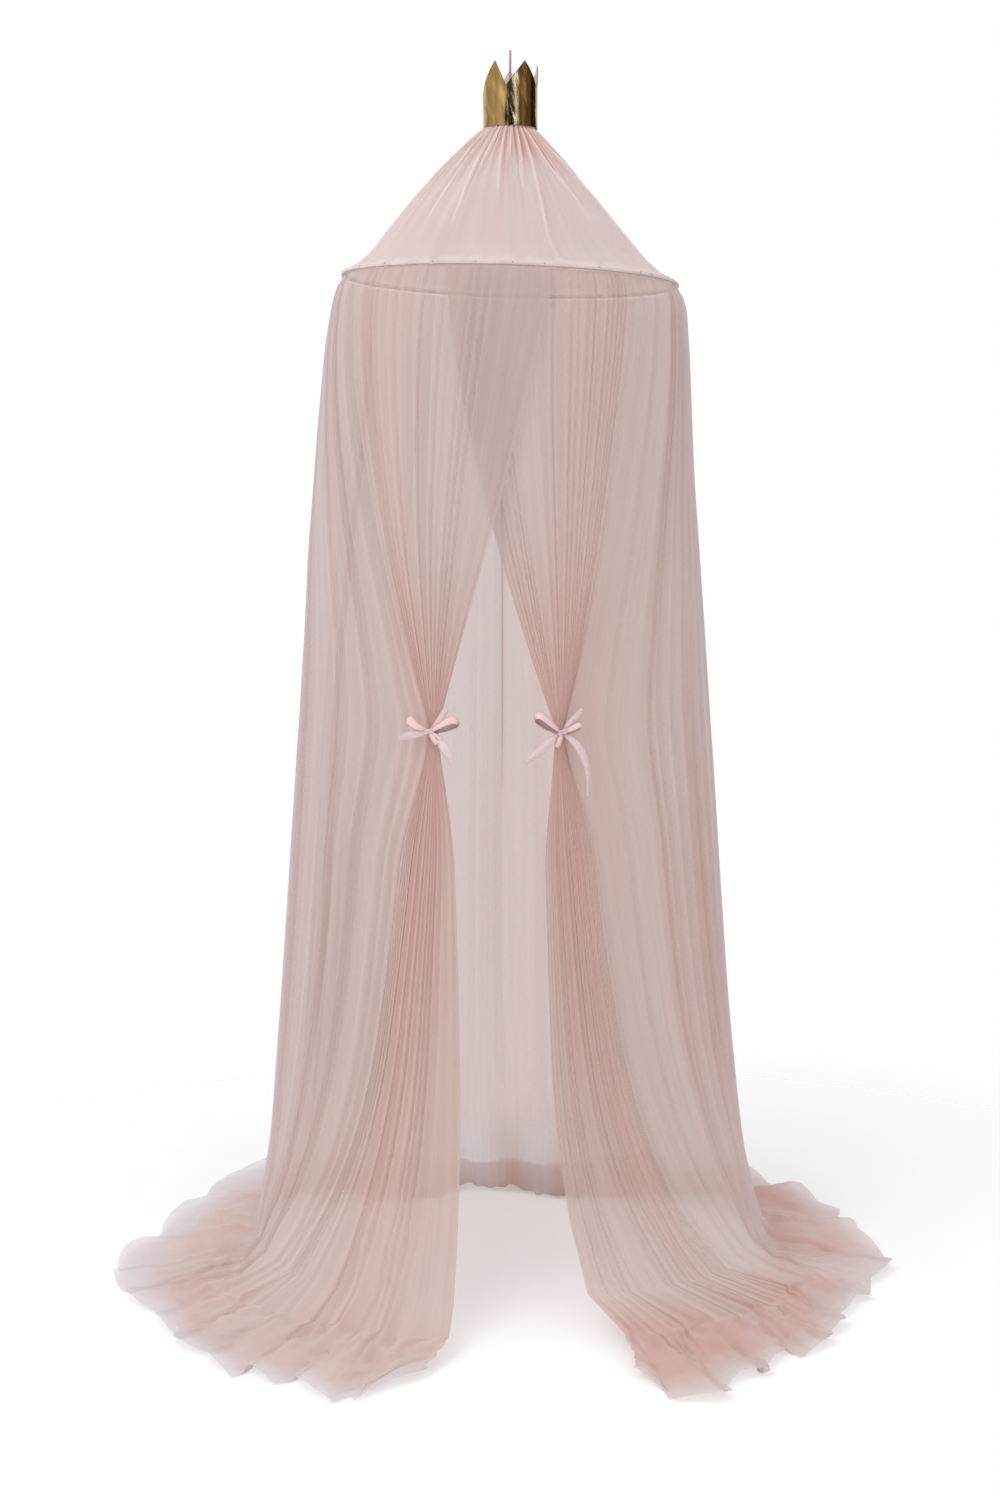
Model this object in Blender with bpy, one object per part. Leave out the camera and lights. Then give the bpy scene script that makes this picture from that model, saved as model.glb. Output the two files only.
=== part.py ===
"""A mosquito net canopy that hangs from one point over a bed or a play corner.

From the top down: a hanging loop of cord, a crown of stiff gilt sheet round the neck, a
pleated voile top that falls as a cone and ends in a casing, a hoop inside that casing, and
one long net, open in front, whose two front parts cross under the hoop and are tied back
with ribbon bows. The net lies on the floor in a ring of lobes.

Units are metres, +Z is up, and the viewer stands at -Y. The origin is the point in the loop
where a hook bears. The tables give heights above the floor, which level() turns into Z.
"""

import math
from collections import namedtuple

import bmesh
import bpy
import numpy as np
from mathutils import Quaternion, Vector

# From the floor up to the hook
HANG_HEIGHT = 2.153

# Hoop, lower on the viewer's right by the tilt
HOOP_RADIUS = 0.294
HOOP_HEIGHT = 1.757
HOOP_TUBE_RADIUS = 0.0035
HOOP_TUBE_SIDES = 8
HOOP_TILT = math.radians(1.9)
TILT_FADES_AT = 1.2  # the height by which the net no longer follows the tilt

# Voile top
TOP_COLUMNS = 40  # shared with the hoop, so that the casing follows it
TOP_THICKNESS = 0.0012
PLEAT_COUNT = 10
PLEAT_WANDER = 0.5  # in radians of a pleat's own wave, three times round
CASING_RADIUS = 0.005
CASING_ANGLES = (76, 30, -14, -58, -102, -146, 170)

# Crown
CROWN_RADIUS = 0.0478
CROWN_THICKNESS = 0.0012
CROWN_BOTTOM = 2.0205
CROWN_BAND_TOP = 2.069
CROWN_VALLEY = 2.089
CROWN_TIP = 2.132
CROWN_STEPS = 4  # columns from a valley to the next tip

# Hanging loop: its two strands rise from the bound neck, a little apart, into a round bend
CORD_DIAMETER = 0.004
CORD_STEP = 0.006
CORD_BEND_RADIUS = 0.0100
CORD_BEND_ANGLES = (23, 59)
CordRow = namedtuple("CordRow", "above_neck half_gap")
CORD_ROWS = (
    CordRow(-0.006, 0.0029),
    CordRow(0.012, 0.0029),
    CordRow(0.035, 0.0037),
    CordRow(0.062, 0.0068),
    CordRow(0.087, 0.0094),
)

# Net
NET_THICKNESS = 0.0014
FOLDS_PER_SIDE = 14
GATHERED_FOLDS = 6  # drawn into the bow
WEB_FOLDS = 2.5  # pulled flat between the bow and the wall
OPEN_FOLD = (0.10, 0.40, 0.60, 0.90)  # where a fold's four columns lie in it
SHUT_FOLD = (0.0, 0.5, 0.5, 1.0)  # the same, pressed into the bow
FOLD_UNEVENNESS = (0.78, 1.15)  # the shallowest and the deepest, against the row's own depth
FOLD_SHIFT = 0.06  # how far a hanging fold may stand aside, in folds
FOLD_SEED = 7

# Bows
BOW_HEIGHT = 0.984
BOW_BAND = 0.009  # half the height over which the net stays pressed
BOW_RADIUS = 0.345  # from the canopy's axis to the middle of the gathered net
BOW_PITCH = 0.0043
BOW_DEPTH = 0.0115
BOW_ROUNDING = 0.8  # how much shallower the outer folds of the gathered net are
WEB_DEPTH = 0.004  # of the folds that run from the bow to the wall
RIBBON_WIDTH = 0.015
RIBBON_THICKNESS = 0.001
WRAP_HALF_WIDTH, WRAP_HALF_DEPTH, WRAP_HEIGHT = 0.0158, 0.0157, 0.009
WRAP_SLOT = 27  # degrees each way that the turn leaves open for the cloth
WRAP_STEPS = 22
KNOT_HALF_SIZES = (0.0085, 0.0050, 0.0062)

# The voile's fall: height above the hoop, radius, and how deep its pleats are
TopRow = namedtuple("TopRow", "above_hoop radius pleat")
TOP_ROWS = (
    TopRow(0.2930, 0.0068, 0.0000),
    TopRow(0.2905, 0.0200, 0.0008),
    TopRow(0.2800, 0.0385, 0.0010),
    TopRow(0.2615, 0.0448, 0.0008),
    TopRow(0.2500, 0.0615, 0.0030),
    TopRow(0.2000, 0.1150, 0.0040),
    TopRow(0.1350, 0.1690, 0.0035),
    TopRow(0.0750, 0.2180, 0.0022),
    TopRow(0.0350, 0.2520, 0.0010),
    TopRow(0.0160, 0.2720, 0.0000),
)

# Where the crown's edge dips and where its next point stands, in degrees from the front
CrownPoint = namedtuple("CrownPoint", "valley tip")
CROWN_POINTS = (
    CrownPoint(-9, 31),
    CrownPoint(73, 109),
    CrownPoint(145, 181),
    CrownPoint(217, 252),
    CrownPoint(287, 327),
)

# The net's wall: height, radius, how far its middle is from the axis, depth of its folds
# each way, and how far the crossing parts stand off each other each way
NetRow = namedtuple("NetRow", "height radius middle fold stand_off")
WALL_ROWS = (
    NetRow(HOOP_HEIGHT - 0.0062, 0.294, 0.000, 0.0022, 0.0040),
    NetRow(1.725, 0.307, 0.000, 0.0050, 0.0085),
    NetRow(1.665, 0.319, -0.004, 0.0070, 0.0112),
    NetRow(1.550, 0.330, -0.009, 0.0090, 0.0140),
    NetRow(1.410, 0.339, -0.012, 0.0105, 0.0160),
    NetRow(1.270, 0.349, -0.013, 0.0115, 0.0160),
    NetRow(1.140, 0.357, -0.012, 0.0120, 0.0100),
    NetRow(1.050, 0.362, -0.012, 0.0125, 0.0030),
    NetRow(BOW_HEIGHT + BOW_BAND, 0.366, -0.012, 0.0125, 0.0000),
    NetRow(BOW_HEIGHT - BOW_BAND, 0.367, -0.012, 0.0125, 0.0000),
    NetRow(0.920, 0.371, -0.012, 0.0130, 0.0000),
    NetRow(0.820, 0.378, -0.012, 0.0135, 0.0000),
    NetRow(0.640, 0.391, -0.012, 0.0145, 0.0000),
    NetRow(0.400, 0.411, -0.011, 0.0160, 0.0000),
    NetRow(0.180, 0.430, -0.006, 0.0180, 0.0000),
    NetRow(0.070, 0.447, -0.002, 0.0190, 0.0000),
)

# The net on the floor: how far each row lies from the wall's foot (0) to the hem (1), its
# middle height, and how far its folds rise and sink
FloorRow = namedtuple("FloorRow", "share height ripple")
FOOT_RADIUS = 0.475
FOOT_FOLD = 0.012  # how far the folds stand out each way at the foot
LOBE_DEPTH = 0.012  # and at the hem, where they end in lobes
FLOOR_ROWS = (
    FloorRow(0.00, 0.0280, 0.0051),
    FloorRow(0.30, 0.0240, 0.0094),
    FloorRow(0.68, 0.0150, 0.0072),
    FloorRow(1.00, 0.0085, 0.0041),
)

# The two sides of the opening. Angles are in degrees from the front towards the side
# itself, so a negative one is past the middle. edge is the front edge, gather the last
# cloth drawn into the bow, and wall the first that hangs free
Side = namedtuple(
    "Side",
    "name sign edge_top gather_top wall_top bow wall_bow edge_foot gather_foot wall_foot"
    " edge_spread gather_spread edge_hem",
)
LEFT = Side("left", -1, -12.4, 60, 86, 22.0, 72, 9.5, 52, 76, 1.7, 0.6, 12.6)
RIGHT = Side("right", 1, -21.0, 45, 74, 13.6, 64, 19.0, 56, 80, 0.35, 0.6, 17.5)
TOP_DRAW = 1.25  # how the front hangs nearly straight at first, then draws in to the bow

# How far the hem lies from the axis, by the angle from the front
Reach = namedtuple("Reach", "angle radius")
HEM = {
    "left": (
        Reach(12, 0.70), Reach(16, 0.82), Reach(21, 0.81), Reach(27, 0.76),
        Reach(33, 0.78), Reach(42, 0.73), Reach(50, 0.735), Reach(62, 0.70),
        Reach(75, 0.715), Reach(85, 0.70), Reach(100, 0.665), Reach(115, 0.65),
        Reach(125, 0.73), Reach(140, 0.77), Reach(160, 0.66), Reach(180, 0.61),
    ),
    "right": (
        Reach(17, 0.71), Reach(20.5, 0.84), Reach(26, 0.77), Reach(31, 0.775),
        Reach(38, 0.73), Reach(45, 0.715), Reach(52, 0.685), Reach(62, 0.66),
        Reach(72, 0.675), Reach(86, 0.695), Reach(98, 0.65), Reach(104, 0.68),
        Reach(118, 0.68), Reach(131, 0.72), Reach(160, 0.64), Reach(180, 0.61),
    ),
}

# A bow's loops and free ends, from its knot: across, up and out to the viewer, in metres
Loop = namedtuple("Loop", "across up belly roll")
Tail = namedtuple("Tail", "across up out sway")
BOWS = {
    "left": (
        (Loop(-0.036, 0.018, 0.010, 20), Loop(0.052, 0.016, 0.011, -25)),
        (Tail(-0.054, -0.014, 0.006, 0.004), Tail(0.046, -0.058, 0.010, -0.008)),
    ),
    "right": (
        (Loop(-0.044, 0.022, 0.011, 25), Loop(0.032, 0.010, 0.010, -15)),
        (Tail(-0.062, -0.050, 0.010, 0.008), Tail(0.046, -0.110, 0.012, -0.010)),
    ),
}

# A loop's route: how far along it, and how far forward of its back leg
LOOP_TURN = (
    (0.06, 0.45), (0.30, 0.95), (0.62, 1.10), (0.88, 0.98), (0.98, 0.76), (1.00, 0.52),
    (0.96, 0.28), (0.82, 0.10), (0.58, 0.03), (0.30, 0.01), (0.06, 0.00),
)
RIBBON_AT_KNOT = 0.006
LOOP_WIDE_AT = 0.62  # the share of a loop or free end by which the ribbon is its full width
TAIL_WIDE_AT = 0.45
TAIL_SHARES = (0.06, 0.25, 0.45, 0.65, 0.85, 1.0)
TAIL_SPREAD, TAIL_FALL = 0.8, 1.3  # it first runs aside, and then hangs

# Materials: colour, roughness, metallic
FINISHES = {
    "voile": ((0.72, 0.59, 0.57), 0.85, 0.0),
    "net": ((0.66, 0.50, 0.48), 0.90, 0.0),
    "gilt": ((0.62, 0.44, 0.17), 0.28, 1.0),
    "ribbon": ((0.80, 0.62, 0.62), 0.40, 0.0),
    "cord": ((0.55, 0.47, 0.48), 0.80, 0.0),
    "hoop": ((0.80, 0.80, 0.78), 0.45, 0.0),
}


def level(height):
    """Z of a height above the floor."""
    return height - HANG_HEIGHT


def hoop_drop(x):
    """How far the tilted hoop is below its own middle at x."""
    return x * math.tan(HOOP_TILT)


def finish(name):
    colour, roughness, metallic = FINISHES[name]
    material = bpy.data.materials.get(name) or bpy.data.materials.new(name)
    material.use_nodes = True
    shader = material.node_tree.nodes["Principled BSDF"]
    shader.inputs["Base Color"].default_value = (*colour, 1.0)
    shader.inputs["Roughness"].default_value = roughness
    shader.inputs["Metallic"].default_value = metallic
    material.diffuse_color = (*colour, 1.0)
    return material


def add_object(name, mesh, material):
    piece = bpy.data.objects.new(name, mesh)
    bpy.context.scene.collection.objects.link(piece)
    piece.data.materials.append(finish(material))
    return piece


def grid_mesh(name, rows, ring=False):
    """A sheet of quads through rows of points. A ring joins each row's ends."""
    points = np.asarray(rows)
    height, width = points.shape[:2]
    mesh_builder = bmesh.new()
    verts = [mesh_builder.verts.new(point) for point in points.reshape(-1, 3)]
    for i in range(height - 1):
        for j in range(width if ring else width - 1):
            k = (j + 1) % width
            corners = (i * width + j, i * width + k, (i + 1) * width + k, (i + 1) * width + j)
            mesh_builder.faces.new([verts[c] for c in corners])
    bmesh.ops.recalc_face_normals(mesh_builder, faces=mesh_builder.faces)
    mesh = bpy.data.meshes.new(name)
    mesh_builder.to_mesh(mesh)
    mesh_builder.free()
    mesh.shade_smooth()
    return mesh


def thicken(piece, thickness, even=True):
    solid = piece.modifiers.new("thickness", "SOLIDIFY")
    solid.thickness = thickness
    solid.offset = 0.0
    solid.use_even_offset = even
    solid.use_rim = True


def around(radius, angle, height, middle=0.0):
    """A point at an angle from the front, counted towards +X, with its height above the floor."""
    return (middle + radius * math.sin(angle), -radius * math.cos(angle), level(height))


def smooth_route(points, step):
    """A smooth curve through the points, read every step or so."""
    p = np.asarray(points, float)
    p = np.vstack([2 * p[0] - p[1], p, 2 * p[-1] - p[-2]])
    route = []
    for a, b, c, d in zip(p, p[1:], p[2:], p[3:]):
        pieces = max(1, round(np.linalg.norm(c - b) / step))
        for t in np.arange(pieces) / pieces:
            bend = 2 * b + (c - a) * t + (2 * a - 5 * b + 4 * c - d) * t**2
            route.append((bend + (3 * b - a - 3 * c + d) * t**3) / 2)
    return [*route, p[-2]]


def make_hoop():
    bpy.ops.mesh.primitive_torus_add(
        major_radius=HOOP_RADIUS,
        minor_radius=HOOP_TUBE_RADIUS,
        major_segments=TOP_COLUMNS,
        minor_segments=HOOP_TUBE_SIDES,
    )
    hoop = bpy.context.object
    hoop.name = hoop.data.name = "hoop"
    hoop.location.z = level(HOOP_HEIGHT)
    hoop.rotation_euler.y = HOOP_TILT
    hoop.data.shade_smooth()
    hoop.data.materials.append(finish("hoop"))


def make_top():
    """The voile from the bound neck inside the crown down to the casing round the hoop."""
    highest = TOP_ROWS[0].above_hoop
    profile = [(row.radius, row.above_hoop, row.pleat) for row in TOP_ROWS]
    for angle in map(math.radians, CASING_ANGLES):
        radius = HOOP_RADIUS + CASING_RADIUS * math.cos(angle)
        profile.append((radius, CASING_RADIUS * math.sin(angle), 0.0))
    rows = []
    for radius, above, pleat in profile:
        tilt = 1 - max(0.0, above) / highest
        row = []
        for column in range(TOP_COLUMNS):
            angle = 2 * math.pi * column / TOP_COLUMNS
            fold = math.cos(PLEAT_COUNT * angle + PLEAT_WANDER * math.sin(3 * angle))
            x, y, z = around(radius + pleat * fold, angle, HOOP_HEIGHT + above)
            row.append((x, y, z - tilt * hoop_drop(x)))
        rows.append(row)
    thicken(add_object("voile_top", grid_mesh("voile_top", rows, ring=True), "voile"), TOP_THICKNESS)


def make_crown():
    """One strip of stiff sheet closed into a ring, its upper edge cut in five uneven points."""
    columns = []
    for point, following in zip(CROWN_POINTS, CROWN_POINTS[1:] + CROWN_POINTS[:1]):
        next_valley = following.valley + (360 if following.valley < point.valley else 0)
        for step in range(CROWN_STEPS):
            share = step / CROWN_STEPS
            columns.append((point.valley + share * (point.tip - point.valley), share))
        for step in range(CROWN_STEPS):
            share = step / CROWN_STEPS
            columns.append((point.tip + share * (next_valley - point.tip), 1 - share))
    rows = [[], [], []]
    for degrees, rise in columns:
        edge = CROWN_VALLEY + rise * (CROWN_TIP - CROWN_VALLEY)
        for row, height in zip(rows, (CROWN_BOTTOM, CROWN_BAND_TOP, edge)):
            row.append(around(CROWN_RADIUS, math.radians(degrees), height))
    thicken(add_object("crown", grid_mesh("crown", rows, ring=True), "gilt"), CROWN_THICKNESS)


def make_hanging_loop():
    """Two strands that rise side by side from the neck and open into a loop for a hook."""
    neck = HOOP_HEIGHT + TOP_ROWS[0].above_hoop
    top = HANG_HEIGHT + CORD_DIAMETER / 2
    half = [(row.half_gap, neck + row.above_neck) for row in CORD_ROWS]
    for angle in map(math.radians, CORD_BEND_ANGLES):
        rise = top - CORD_BEND_RADIUS * (1 - math.sin(angle))
        half.append((CORD_BEND_RADIUS * math.cos(angle), rise))
    route = [(0, -y, level(h)) for y, h in half] + [(0, 0, level(top))]
    route += [(0, y, level(h)) for y, h in reversed(half)]
    cord = bpy.data.curves.new("hanging_loop", "CURVE")
    cord.dimensions = "3D"
    cord.bevel_depth = CORD_DIAMETER / 2
    cord.bevel_resolution = 2
    cord.use_fill_caps = True
    points = smooth_route(route, CORD_STEP)
    spline = cord.splines.new("POLY")
    spline.points.add(len(points) - 1)
    for place, point in zip(spline.points, points):
        place.co = (*point, 1.0)
    add_object("hanging_loop", cord, "cord")


def blend(a, b, share):
    return a + (b - a) * share


def drawn_in(row, side, fold):
    """How far the front is drawn towards the bow at this row: 0 at hoop and floor, 1 at the bow."""
    if row.height >= BOW_HEIGHT:
        span = WALL_ROWS[0].height - BOW_HEIGHT - BOW_BAND
        share = (WALL_ROWS[0].height - row.height) / span
        return min(1.0, max(0.0, share)) ** TOP_DRAW
    spread = blend(side.edge_spread, side.gather_spread, min(1.0, fold / GATHERED_FOLDS))
    return min(1.0, row.height / (BOW_HEIGHT - BOW_BAND)) ** spread


def wall_angles(row, side):
    """The angles of edge, gather and wall at this row, before the bow draws them in."""
    if row.height >= BOW_HEIGHT:
        wall = blend(side.wall_top, side.wall_bow, drawn_in(row, side, 0))
        return side.edge_top, side.gather_top, wall
    wall = blend(side.wall_foot, side.wall_bow, drawn_in(row, side, GATHERED_FOLDS))
    return side.edge_foot, side.gather_foot, wall


def angle_at(fold, edge, gather, wall):
    """The angle of a place along the cloth, counted in folds from the front edge."""
    stations = (0, GATHERED_FOLDS, GATHERED_FOLDS + WEB_FOLDS, FOLDS_PER_SIDE)
    return math.radians(float(np.interp(fold, stations, (edge, gather, wall, 180))))


def net_base(row, side, fold):
    """Where the cloth runs in plan, without its folds."""
    angle = angle_at(fold, *wall_angles(row, side))
    middle = side.sign * row.middle
    hung = np.array([middle + row.radius * math.sin(angle), -row.radius * math.cos(angle)])
    bow = math.radians(side.bow)
    across = np.array([math.cos(bow), math.sin(bow)])
    centre = BOW_RADIUS * np.array([math.sin(bow), -math.cos(bow)])
    pressed = centre + across * (min(fold, GATHERED_FOLDS) - GATHERED_FOLDS / 2) * BOW_PITCH
    if fold > GATHERED_FOLDS + WEB_FOLDS:
        return hung
    if fold > GATHERED_FOLDS:
        wall = math.radians(wall_angles(row, side)[2])
        free = np.array([middle + row.radius * math.sin(wall), -row.radius * math.cos(wall)])
        pressed = blend(pressed, free, (fold - GATHERED_FOLDS) / WEB_FOLDS)
    return blend(hung, pressed, drawn_in(row, side, fold))


def fold_direction(row, side, fold):
    """Which way the folds stand out: from the axis, but all alike where they are pressed."""
    angle = angle_at(fold, *wall_angles(row, side))
    spread = min(1.0, max(0.0, (fold - GATHERED_FOLDS) / WEB_FOLDS))
    pressed = blend(math.radians(side.bow), angle, spread)
    angle = blend(angle, pressed, drawn_in(row, side, fold))
    return np.array([math.sin(angle), -math.cos(angle)])


def fold_depth(row, side, fold, unevenness):
    """How far a fold stands out each way."""
    drawn = drawn_in(row, side, fold)
    free = row.fold * unevenness
    if fold >= GATHERED_FOLDS + WEB_FOLDS:
        return free
    if fold > GATHERED_FOLDS:
        pressed = blend(WEB_DEPTH, free, (fold - GATHERED_FOLDS) / WEB_FOLDS)
    else:
        from_middle = abs(fold / GATHERED_FOLDS * 2 - 1)
        pressed = BOW_DEPTH * math.sqrt(1 - BOW_ROUNDING * from_middle**2)
    return blend(free, pressed, drawn)


def net_columns(side, rng):
    """Each column's fold, its place in it open and shut, which way it stands, and how deep."""
    first = 1 if side.sign < 0 else -1
    columns = []
    for fold in range(FOLDS_PER_SIDE):
        uneven = rng.uniform(*FOLD_UNEVENNESS)
        hangs_free = fold > GATHERED_FOLDS + WEB_FOLDS
        shift = rng.uniform(-FOLD_SHIFT, FOLD_SHIFT) if hangs_free else 0.0
        for k in range(4):
            out = first if k < 2 else -first
            columns.append((fold, OPEN_FOLD[k] + shift, SHUT_FOLD[k], out, uneven))
    return columns


def net_side(side, rng):
    """The points of one side of the net, row by row, from its front edge to the back."""
    columns = net_columns(side, rng)
    rows = []
    for row in WALL_ROWS:
        points = []
        for number, open_place, shut_place, out, uneven in columns:
            gathered = number < GATHERED_FOLDS
            shut = drawn_in(row, side, number) if gathered else 0.0
            fold = number + blend(open_place, shut_place, shut)
            base = net_base(row, side, fold)
            outward = fold_direction(row, side, fold)
            depth = out * fold_depth(row, side, fold, uneven)
            crossing = -side.sign * row.stand_off * max(0.0, 1 - fold / GATHERED_FOLDS)
            x, y = base + outward * (depth + crossing)
            tilt = max(0.0, (row.height - TILT_FADES_AT) / (HOOP_HEIGHT - TILT_FADES_AT))
            x = side.sign * x
            points.append((x, y, level(row.height) - tilt * hoop_drop(x)))
        rows.append(points)
    return rows + floor_side(side, columns)


def floor_side(side, columns):
    """The rows of one side that lie on the floor."""
    angles, radii = zip(*HEM[side.name])
    rows = []
    for row in FLOOR_ROWS:
        points = []
        for number, place, _, out, uneven in columns:
            fold = number + place
            edge = blend(side.edge_foot, side.edge_hem, row.share)
            angle = angle_at(fold, edge, side.gather_foot, side.wall_foot)
            reach = float(np.interp(math.degrees(angle), angles, radii)) + out * LOBE_DEPTH
            at_foot = out * FOOT_FOLD * (1 - row.share) ** 2
            radius = blend(FOOT_RADIUS, reach, row.share) + at_foot
            height = row.height + out * row.ripple * uneven
            x, y, z = around(radius, angle, height)
            points.append((side.sign * x, y, z))
        rows.append(points)
    return rows


def make_net():
    rng = np.random.default_rng(FOLD_SEED)
    left, right = net_side(LEFT, rng), net_side(RIGHT, rng)
    rows = [one + other[::-1] for one, other in zip(left, right)]
    thicken(add_object("net", grid_mesh("net", rows), "net"), NET_THICKNESS, even=False)


def ribbon_mesh(name, path, sides, widths):
    """A flat strip along a path. sides gives the way its width runs at each point."""
    path, sides = np.asarray(path, float), np.asarray(sides, float)
    along = np.gradient(path, axis=0)
    mesh_builder = bmesh.new()
    sections = []
    for point, way, side, width in zip(path, along, sides, widths):
        way = Vector(way).normalized()
        face = way.cross(Vector(side)).normalized()
        half = face.cross(way) * width / 2
        lift = face * RIBBON_THICKNESS / 2
        corners = (half + lift, half - lift, -half - lift, -half + lift)
        sections.append([mesh_builder.verts.new(Vector(point) + corner) for corner in corners])
    for one, other in zip(sections, sections[1:]):
        for k in range(4):
            mesh_builder.faces.new((one[k], one[(k + 1) % 4], other[(k + 1) % 4], other[k]))
    mesh_builder.faces.new(sections[0][::-1])
    mesh_builder.faces.new(sections[-1])
    bmesh.ops.recalc_face_normals(mesh_builder, faces=mesh_builder.faces)
    mesh = bpy.data.meshes.new(name)
    mesh_builder.to_mesh(mesh)
    mesh_builder.free()
    return mesh


def wrap_mesh(side):
    """The ribbon's turn round the gathered net, sewn to it where the cloth runs on to the wall."""
    rows = [[], []]
    slot = math.radians(WRAP_SLOT)
    for row, z in zip(rows, (-WRAP_HEIGHT / 2, WRAP_HEIGHT / 2)):
        for step in range(WRAP_STEPS + 1):
            turned = slot + step / WRAP_STEPS * 2 * (math.pi - slot)
            angle = side.sign * (math.pi / 2 + turned)
            row.append((WRAP_HALF_WIDTH * math.sin(angle), -WRAP_HALF_DEPTH * math.cos(angle), z))
    return grid_mesh("wrap", rows)


def knot_mesh():
    knot = bmesh.new()
    bmesh.ops.create_uvsphere(knot, u_segments=12, v_segments=8, radius=1.0)
    bmesh.ops.scale(knot, vec=KNOT_HALF_SIZES, verts=knot.verts)
    bmesh.ops.translate(knot, vec=(0, -WRAP_HALF_DEPTH - KNOT_HALF_SIZES[1] / 2, 0), verts=knot.verts)
    mesh = bpy.data.meshes.new("knot")
    knot.to_mesh(mesh)
    knot.free()
    mesh.shade_smooth()
    return mesh


def loop_mesh(loop):
    """A bow's loop: out from the knot in front, round its tip and back behind."""
    start = Vector((0, -WRAP_HALF_DEPTH - KNOT_HALF_SIZES[1] / 2, 0))
    reach = Vector((loop.across, 0, loop.up))
    roll = Quaternion(reach.normalized(), math.radians(loop.roll))
    out = roll @ Vector((0, -loop.belly, 0))
    side = reach.cross(out).normalized()
    path, widths = [], []
    for along, stand_off in LOOP_TURN:
        path.append(start + reach * along + out * stand_off)
        widths.append(blend(RIBBON_AT_KNOT, RIBBON_WIDTH, min(1.0, along / LOOP_WIDE_AT)))
    return ribbon_mesh("loop", path, [side] * len(path), widths)


def tail_mesh(tail):
    """A free end that leaves the knot and hangs."""
    knot_out = WRAP_HALF_DEPTH + KNOT_HALF_SIZES[1] / 2
    path, sides, widths = [], [], []
    for share in TAIL_SHARES:
        across = tail.across * share**TAIL_SPREAD
        up = tail.up * share**TAIL_FALL
        out = knot_out + tail.out * math.sin(math.pi * share)
        path.append((across, -out, up))
        sides.append((tail.up, tail.sway * 4 * share, -tail.across))
        widths.append(blend(RIBBON_AT_KNOT, RIBBON_WIDTH, min(1.0, share / TAIL_WIDE_AT)))
    return ribbon_mesh("tail", path, sides, widths)


def make_tie(side):
    """One bow: a turn round the net, a knot, two loops and two free ends, all one ribbon."""
    angle = side.sign * math.radians(side.bow)
    x, y, z = around(BOW_RADIUS, angle, BOW_HEIGHT)
    loops, tails = BOWS[side.name]
    meshes = [knot_mesh(), *map(loop_mesh, loops), *map(tail_mesh, tails)]
    pieces = [add_object(f"tie_{side.name}", wrap_mesh(side), "ribbon")]
    thicken(pieces[0], RIBBON_THICKNESS)
    for number, mesh in enumerate(meshes):
        helper = add_object(f"tie_{side.name}_shape_{number}", mesh, "ribbon")
        helper.hide_render = True
        helper.display_type = "WIRE"
        join = pieces[0].modifiers.new(f"join {number}", "BOOLEAN")
        join.operation = "UNION"
        join.object = helper
        pieces.append(helper)
    for piece in pieces:
        piece.location = (x, y, z)
        piece.rotation_euler.z = angle


def main():
    for old in list(bpy.data.objects):
        bpy.data.objects.remove(old)
    make_hanging_loop()
    make_crown()
    make_top()
    make_hoop()
    make_net()
    make_tie(LEFT)
    make_tie(RIGHT)


main()
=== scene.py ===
"""Dresses the solids of a hanging net canopy in its cloth, gilt sheet, cord and ribbon.

Everything is in metres in the frame of the solids: +Z is up, the viewer stands at -Y, and
the origin is the point in the hanging loop where a hook bears. Tables give heights above
the floor, which level() turns into Z.
"""

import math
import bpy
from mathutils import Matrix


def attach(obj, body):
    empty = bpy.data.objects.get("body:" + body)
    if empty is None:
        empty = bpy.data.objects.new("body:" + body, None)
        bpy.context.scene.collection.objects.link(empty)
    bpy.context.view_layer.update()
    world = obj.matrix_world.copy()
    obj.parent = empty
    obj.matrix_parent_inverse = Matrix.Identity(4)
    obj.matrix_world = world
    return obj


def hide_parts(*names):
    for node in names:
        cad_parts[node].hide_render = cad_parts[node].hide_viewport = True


bl_info = {
    "name": "Net canopy with crown and bows",
    "version": (1, 0, 0),
    "blender": (4, 5, 0),
    "location": "View3D > Sidebar > Canopy",
    "description": "Net, pleated voile, gilt crown, cord and ribbon bows for a hanging canopy",
    "category": "Add Mesh",
}

from collections import namedtuple

import bmesh
import bpy
import numpy as np
from mathutils import Matrix, Vector

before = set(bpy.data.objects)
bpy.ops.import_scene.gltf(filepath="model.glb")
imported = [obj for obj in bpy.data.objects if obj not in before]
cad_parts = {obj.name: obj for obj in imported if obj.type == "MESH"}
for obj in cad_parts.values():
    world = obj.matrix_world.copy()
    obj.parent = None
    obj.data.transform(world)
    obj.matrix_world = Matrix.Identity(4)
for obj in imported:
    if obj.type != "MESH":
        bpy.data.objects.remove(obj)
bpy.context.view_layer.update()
BODY = "root"

# From the floor up to the hook
HANG_HEIGHT = 2.153

# Camera, worked out from the ellipses of the hoop and of the cloth on the floor
CAMERA_PLACE = (-0.018, -4.4, 1.33)  # its third number is a height above the floor
CAMERA_PITCH = math.radians(5.3)
CAMERA_LENS = 58.8  # mm, for the 36 mm along the picture's long side

# Hoop and casing
HOOP_RADIUS = 0.294
HOOP_HEIGHT = 1.757
HOOP_TILT = math.radians(1.9)
TILT_FADES_AT = 1.2
CASING_RADIUS = 0.0044

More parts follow.
